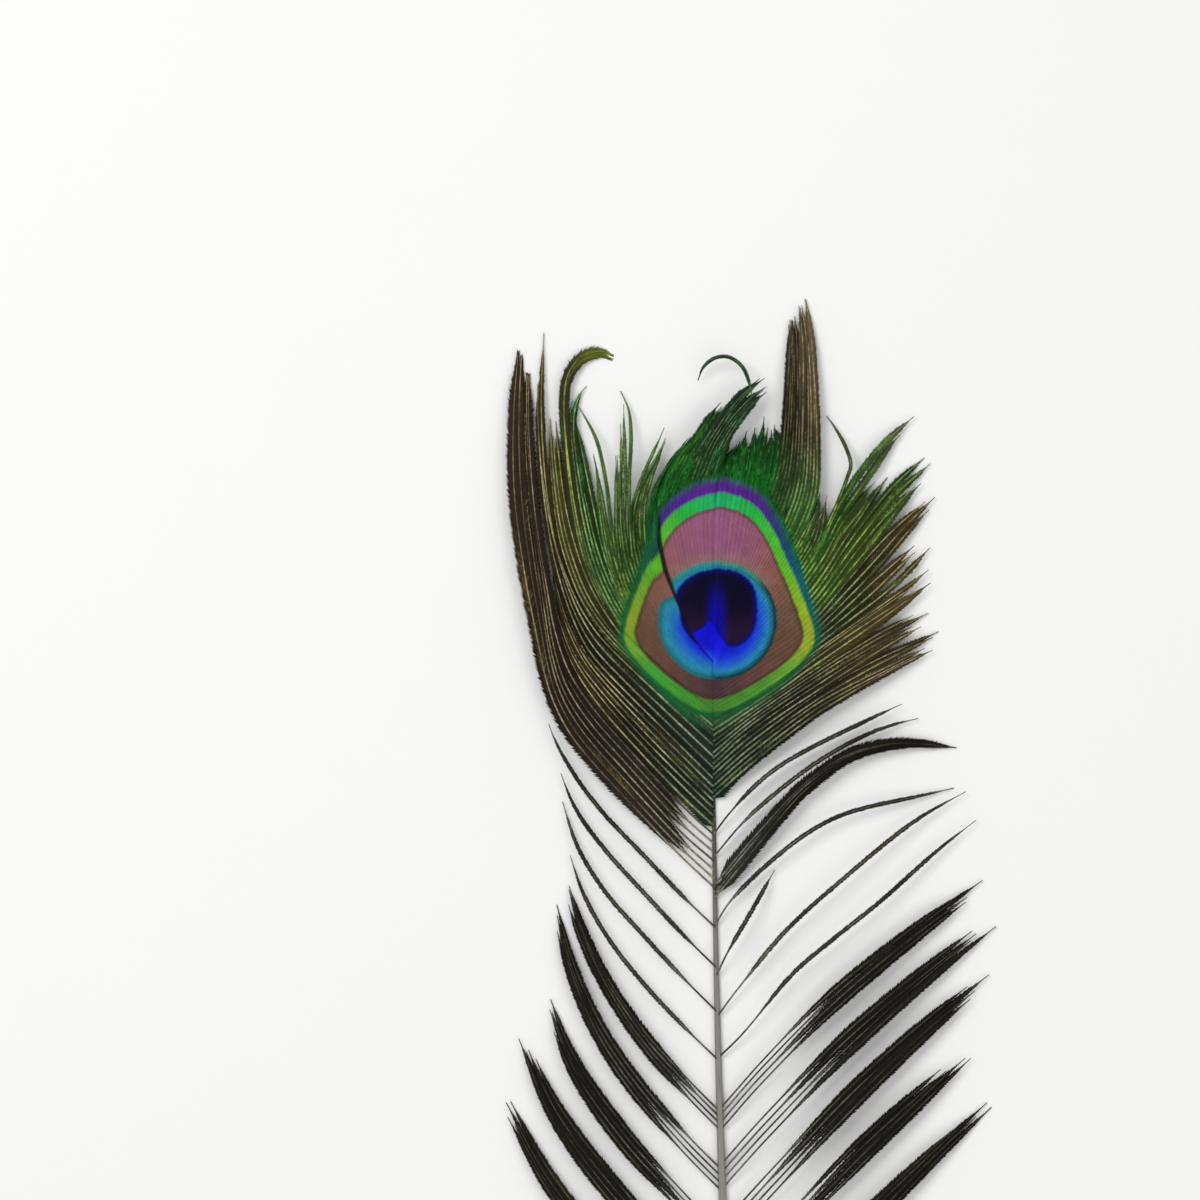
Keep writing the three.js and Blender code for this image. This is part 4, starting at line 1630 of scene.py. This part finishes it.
@dataclass
class Shaft:
    """The shaft: a slightly bowed taper, flat underneath, with pale pith in its cut end.

    Attributes:
        seat: The height of its middle, as a share of its radius.
        pith: The radius of the pith's rings as shares of the shaft's, and their depths.
    """

    node: str = "shaft"
    tip_y: float = -6.0
    cut_y: float = -174.0
    tip_radius: float = 0.25
    cut_radius: float = 1.25
    taper: float = 1.2
    bow: float = 4.5
    seat: float = 0.8
    rings: int = 240
    sides: int = 24
    pith: tuple[Point, Point] = ((0.72, 0.0), (0.6912, 0.25))

    def build(self, kit: Kit) -> bpy.types.Object:
        """Builds the shaft's mesh, with its recessed pith.

        Args:
            kit: What the feather is made with.

        Returns:
            The new object.
        """
        sides = self.sides
        t = np.append(np.linspace(0, 1, self.rings), [1.0, 1.0])
        share = np.append(np.ones(self.rings), [share for share, _ in self.pith])
        depth = np.append(np.zeros(self.rings), [depth for _, depth in self.pith])
        y = between((self.tip_y, self.cut_y), t) + depth
        outer = between((self.tip_radius, self.cut_radius), t**self.taper)
        radius = (outer * share)[:, None]
        around = np.arange(sides) * 2 * math.pi / sides
        middle = self.bow * ((self.tip_y - y) / (self.tip_y - self.cut_y)) ** 2
        x = middle[:, None] + radius * np.cos(around)
        z = np.maximum(self.seat * outer[:, None] + radius * np.sin(around), 0)
        points = np.stack([x, np.repeat(y[:, None], sides, 1), z], axis=2).reshape(-1, 3)
        faces = tube_walls(len(t), sides).tolist()
        faces += [list(range(sides)), list(range(len(points) - 1, len(points) - 1 - sides, -1))]
        numbers = {
            "past": np.repeat(t, sides),
            "chance": np.tile(np.arange(sides) / sides, len(t)),
            "side": np.zeros(len(points)),
            "rib": np.repeat(np.arange(len(t)) == len(t) - 1, sides),
        }
        points = (points + kit.offset) * MM
        return new_piece("shaft_quill", points, faces, len(faces), numbers)

    def dress(self, kit: Kit, piece: bpy.types.Object) -> None:
        """Gives the shaft its horn and settles it."""
        piece.data.materials.append(ShaftFinish().material())
        kit.settle(piece, self.node)


def vanes() -> list[Vane]:
    """Lays out the vanes of the eye, of which the left one is split along a barb.

    Returns:
        The three vanes.
    """
    return [
        Vane("eye_vane_right", Side.RIGHT, 15, 21),
        Vane("eye_vane_left_upper", Side.LEFT, 19, 21, split_at=19, slip=-0.4, parting=0.1),
        Vane("eye_vane_left_lower", Side.LEFT, 15, 19, split_at=19, slip=2.2, parting=0.26),
    ]


def fringe_locks() -> list[Lock]:
    """Lays out the free locks past the rim of the eye.

    Returns:
        The locks.
    """
    t, left, right = LockTone, Side.LEFT, Side.RIGHT
    loose = [
        Lock("fringe_right_1", right, 15.0, 15.5, 0.92, t.BRONZE, barbule=0.9),
        Lock("fringe_right_2", right, 15.5, 16, 1, t.BRONZE, barbule=0.9),
        Lock("fringe_right_3", right, 16, 16.45, 1, t.OLIVE),
        Lock("fringe_right_4", right, 16.45, 16.85, 0.84, t.OLIVE),
        Lock("tall_lock_right", right, 16.85, 17.2, 1, t.SPRING, gather=0.6),
        Lock("fringe_right_5", right, 17.2, 18, 0.56, t.SPRING, tip_height=1.2, ragged=0.3),
        Lock("vertical_lock_outer", right, 18, 18.5, 1, t.BARK, gather=0.15, play=0.2),
        Lock("vertical_lock_inner", right, 18.5, 19, 0.97, t.PEAT, gather=0.15, play=0.2),
        Lock("fringe_top_right_1", right, 19, 19.8, 0.8, t.EMERALD, tip_height=1.2, ragged=0.3),
        Lock("fringe_top_right_2", right, 19.8, 21, 1, t.EMERALD, tip_height=0.6, ragged=0.4),
        Lock("curled_lock", left, 15, 15.25, 1, t.CURL, count=2, gather_from=0.3, barbule=1.25,
             tip_width=0.95, play=0.1, ragged=0.03),
        Lock("fringe_left_1", left, 15.25, 15.8, 0.95, t.STRIPE),
        Lock("fringe_left_2", left, 15.8, 16.4, 0.97, t.STRIPE),
        Lock("fringe_left_3", left, 16.4, 17, 1.1, t.LEAF, tip_height=0.8, ragged=0.35,
             barbule=0.5, gather=0.92, gather_from=0.02),
        Lock("fringe_left_4", left, 17, 17.6, 1.25, t.LEAF, tip_height=0.8, ragged=0.35,
             barbule=0.5, gather=0.92, gather_from=0.02),
        Lock("fringe_left_5", left, 17.6, 18.3, 1.2, t.LEAF, tip_height=0.8, ragged=0.4,
             barbule=0.5, gather=0.85, gather_from=0.05),
        Lock("fringe_left_6", left, 18.3, 19, 0.95, t.EMERALD, tip_height=0.8, ragged=0.4,
             barbule=0.6),
        Lock("top_lock_1", left, 19, 19.7, 0.95, t.EMERALD, layer=1.8, tip_height=1.6),
        Lock("top_lock_2", left, 19.7, 20.35, 1, t.CROWN, layer=1.8, tip_height=1.6),
        Lock("top_lock_3", left, 20.35, 21, 1, t.CROWN, layer=1.8, tip_height=1.6),
    ]
    for lock in loose:
        lock.from_rim = True
    return loose


def shaft_locks() -> list[Lock]:
    """Lays out the locks that are free from their roots on the shaft.

    Returns:
        The locks.
    """
    t, left, right = LockTone, Side.LEFT, Side.RIGHT
    locks = [
        Lock("loose_lock_right_1", right, 13, 13.65, 1, t.MOSS, count=5),
        Lock("loose_lock_right_2", right, 13.65, 14.3, 0.96, t.MOSS, count=5, with_eye=True),
        Lock("loose_lock_right_3", right, 14.3, 15, 1, t.BRONZE, count=5, with_eye=True),
        Lock("thick_lock_right", right, 10, 10.4, 1, t.INK, count=4, bare=0.07, barbule=1.45),
        Lock("sweep_lock_1", left, 10, 10.5, 1, t.SMOKE, count=2, gather=0.1, barbule=1.6,
             bare=0.13, tip_width=0.85),
        Lock("sweep_lock_2", left, 10.5, 11, 0.97, t.SMOKE, count=2, gather=0.1, barbule=1.6,
             bare=0.13, tip_width=0.85),
        Lock("sweep_lock_3", left, 11, 11.6, 0.95, t.SMOKE, count=3, gather=0.2, barbule=1.4,
             bare=0.1, tip_width=0.85),
        Lock("sweep_lock_4", left, 11.6, 12.25, 0.56, t.UMBER, count=3, barbule=1.1),
        Lock("sweep_lock_5", left, 12.25, 12.9, 0.6, t.UMBER, count=3, barbule=1.1),
        Lock("sweep_lock_6", left, 12.9, 13.9, 1, t.UMBER, count=4, gather=0.5, with_eye=True),
        Lock("sweep_lock_7", left, 13.9, 15, 0.8, t.SAGE, count=5, gather=0.5, with_eye=True),
    ]
    lower = {
        right: (0.4, [(4.75, 5.2, 1), (3.85, 4.35, 0.97), (2.95, 3.45, 1), (2, 2.5, 0.96),
                      (0.9, 1.4, 1)]),
        left: (0.3, [(4.75, 5.15, 1), (3.8, 4.25, 1), (2.8, 3.25, 0.97), (1.8, 2.3, 1),
                     (0.7, 1.2, 1)]),
    }
    for side, (bare, rows) in lower.items():
        for number, (first, last, reach) in enumerate(rows, 1):
            node = f"lower_lock_{side.name.lower()}_{number}"
            lock = Lock(node, side, first, last, reach, t.INK, count=4, bare=bare, play=0.25)
            locks.append(lock)
    return locks


def long_barbs() -> list[Lock]:
    """Lays out the single barbs below the eye.

    Returns:
        The barbs, each as a lock of one.
    """
    rows = [
        ("long_barb_right_1", Side.RIGHT, 12),
        ("long_barb_right_2", Side.RIGHT, 11),
        ("long_barb_right_3", Side.RIGHT, 9),
        ("short_barb_right", Side.RIGHT, 8),
        ("long_barb_right_4", Side.RIGHT, 7),
        ("long_barb_right_5", Side.RIGHT, 6),
        ("long_barb_left_1", Side.LEFT, 9),
        ("long_barb_left_2", Side.LEFT, 8),
        ("long_barb_left_3", Side.LEFT, 7),
        ("long_barb_left_4", Side.LEFT, 6),
    ]
    return [
        Lock(node, side, place, place, 1, LockTone.ASH, count=1, bare=0.2, play=0.0, barbule=0.6)
        for node, side, place in rows
    ]


def stray_barbs() -> list[StrayBarb]:
    """Lays out the stray barbs that lie over the others.

    Returns:
        The barbs.
    """
    return [
        StrayBarb("stray_barb_left_1", "fringe", LockTone.LEAF, [
            (-19.2, 12, 5), (-20.4, 20, 4.8), (-21.4, 28, 4.2), (-23.2, 36, 3.2), (-26, 41.6, 1.6),
            (-27, 43, 1.2)]),
        StrayBarb("stray_barb_left_2", "fringe", LockTone.LEAF, [
            (-16.2, 13, 5), (-16.7, 20, 4.8), (-16.8, 28.4, 4.2), (-16.4, 36.4, 3), (-16.8, 42, 1.6),
            (-18.4, 46, 0.8)]),
        StrayBarb("hooked_barb_right", "fringe", LockTone.OLIVE, [
            (22.4, 18.6, 5), (24.8, 24, 4.6), (26.6, 28.6, 4), (27.4, 31.6, 3.4), (26.2, 35.4, 2.4),
            (24.2, 39, 1.4), (22.8, 41, 0.8)]),
        StrayBarb("curled_barb_top", "barbs", LockTone.CROWN, [
            (7.6, 45, 5.2), (7, 48, 5), (5.6, 51, 4.6), (3, 52.8, 4), (0.2, 52.6, 3.2),
            (-2, 50.8, 2.4), (-3, 48.4, 1.6)]),
    ]


@dataclass(frozen=True)
class Lamp:
    """A soft square light over the feather: its place and side in metres, and its watts."""

    name: str
    place: tuple[float, float, float]
    size: float
    power: float

    def hang(self) -> None:
        """Puts the light in the scene."""
        light = bpy.data.lights.new(self.name, "AREA")
        light.size = self.size
        light.energy = self.power
        lamp = bpy.data.objects.new(self.name, light)
        lamp.location = self.place
        lamp.rotation_euler = (-Vector(self.place)).to_track_quat("-Z", "Y").to_euler()
        bpy.context.scene.collection.objects.link(lamp)


@dataclass
class Studio:
    """The floor in metres, the soft lights and the camera in millimetres, looking straight down."""

    view_width: float = 240.0
    view_centre: Point = (-22.6, 4.4)
    camera_height: float = 1000.0
    lens: float = 150.0
    floor_size: float = 4.0
    lamps: tuple[Lamp, ...] = (
        Lamp("key_light", (-0.7, 0.6, 1.1), 0.7, 9.0),
        Lamp("fill_light", (0.8, -0.5, 1.0), 0.9, 3.0),
    )
    world_strength: float = 0.62

    def build(self, kit: Kit) -> None:
        """Sets out the whole studio.

        Args:
            kit: What the feather is made with, for its offset.
        """
        self.floor()
        for lamp in self.lamps:
            lamp.hang()
        self.surroundings()
        self.camera(kit.offset)

    def floor(self) -> None:
        """Lays the plain floor."""
        half = self.floor_size / 2
        corners = np.array([(-half, -half, 0), (half, -half, 0), (half, half, 0), (-half, half, 0)])
        floor = new_piece("floor", corners, [(0, 1, 2, 3)], 0, {})
        floor.data.materials.append(FloorFinish().material())

    def surroundings(self) -> None:
        """Sets the white surroundings."""
        world = bpy.data.worlds.new("white_room")
        world.use_nodes = True
        background = world.node_tree.nodes["Background"]
        background.inputs["Color"].default_value = (1, 1, 1, 1)
        background.inputs["Strength"].default_value = self.world_strength
        bpy.context.scene.world = world
        bpy.context.scene.view_settings.view_transform = "Standard"

    def camera(self, offset: Array) -> None:
        """Hangs the camera, looking straight down.

        Args:
            offset: How far the row's frame lies from the drawing's.
        """
        data = bpy.data.cameras.new("camera")
        data.lens = self.lens
        data.sensor_width = self.lens * self.view_width / self.camera_height
        camera = bpy.data.objects.new("camera", data)
        x, y = np.array(self.view_centre) + offset[:2]
        camera.location = (x * MM, y * MM, self.camera_height * MM)
        bpy.context.scene.collection.objects.link(camera)
        bpy.context.scene.camera = camera


def drawing_offset(shaft: Shaft) -> Array:
    """How far the row's frame lies from the drawing's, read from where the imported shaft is.

    Args:
        shaft: The shaft, for the drawing's place of its cut end.

    Returns:
        Three numbers in millimetres.
    """
    low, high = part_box(shaft.node)
    middle_x = high[0] / MM - shaft.cut_radius - shaft.bow
    return np.array([middle_x, low[1] / MM - shaft.cut_y, 0.0])


@dataclass
class Feather:
    """The whole feather."""

    shaft: Shaft = field(default_factory=Shaft)

    def build(self, kit: Kit) -> None:
        """Builds and dresses every piece.

        Args:
            kit: What the feather is made with.
        """
        parts = [self.shaft, *vanes(), *fringe_locks(), *shaft_locks(), *long_barbs(), *stray_barbs()]
        for part in parts:
            part.dress(kit, part.build(kit))


def main() -> None:
    logging.basicConfig(level=logging.INFO, format="%(name)s: %(message)s")
    feather = Feather()
    kit = Kit(BarbPlan(), EyePattern(), drawing_offset(feather.shaft))
    log.info("drawing offset %s", kit.offset)
    feather.build(kit)
    Studio().build(kit)


if __name__ == "__main__":
    main()
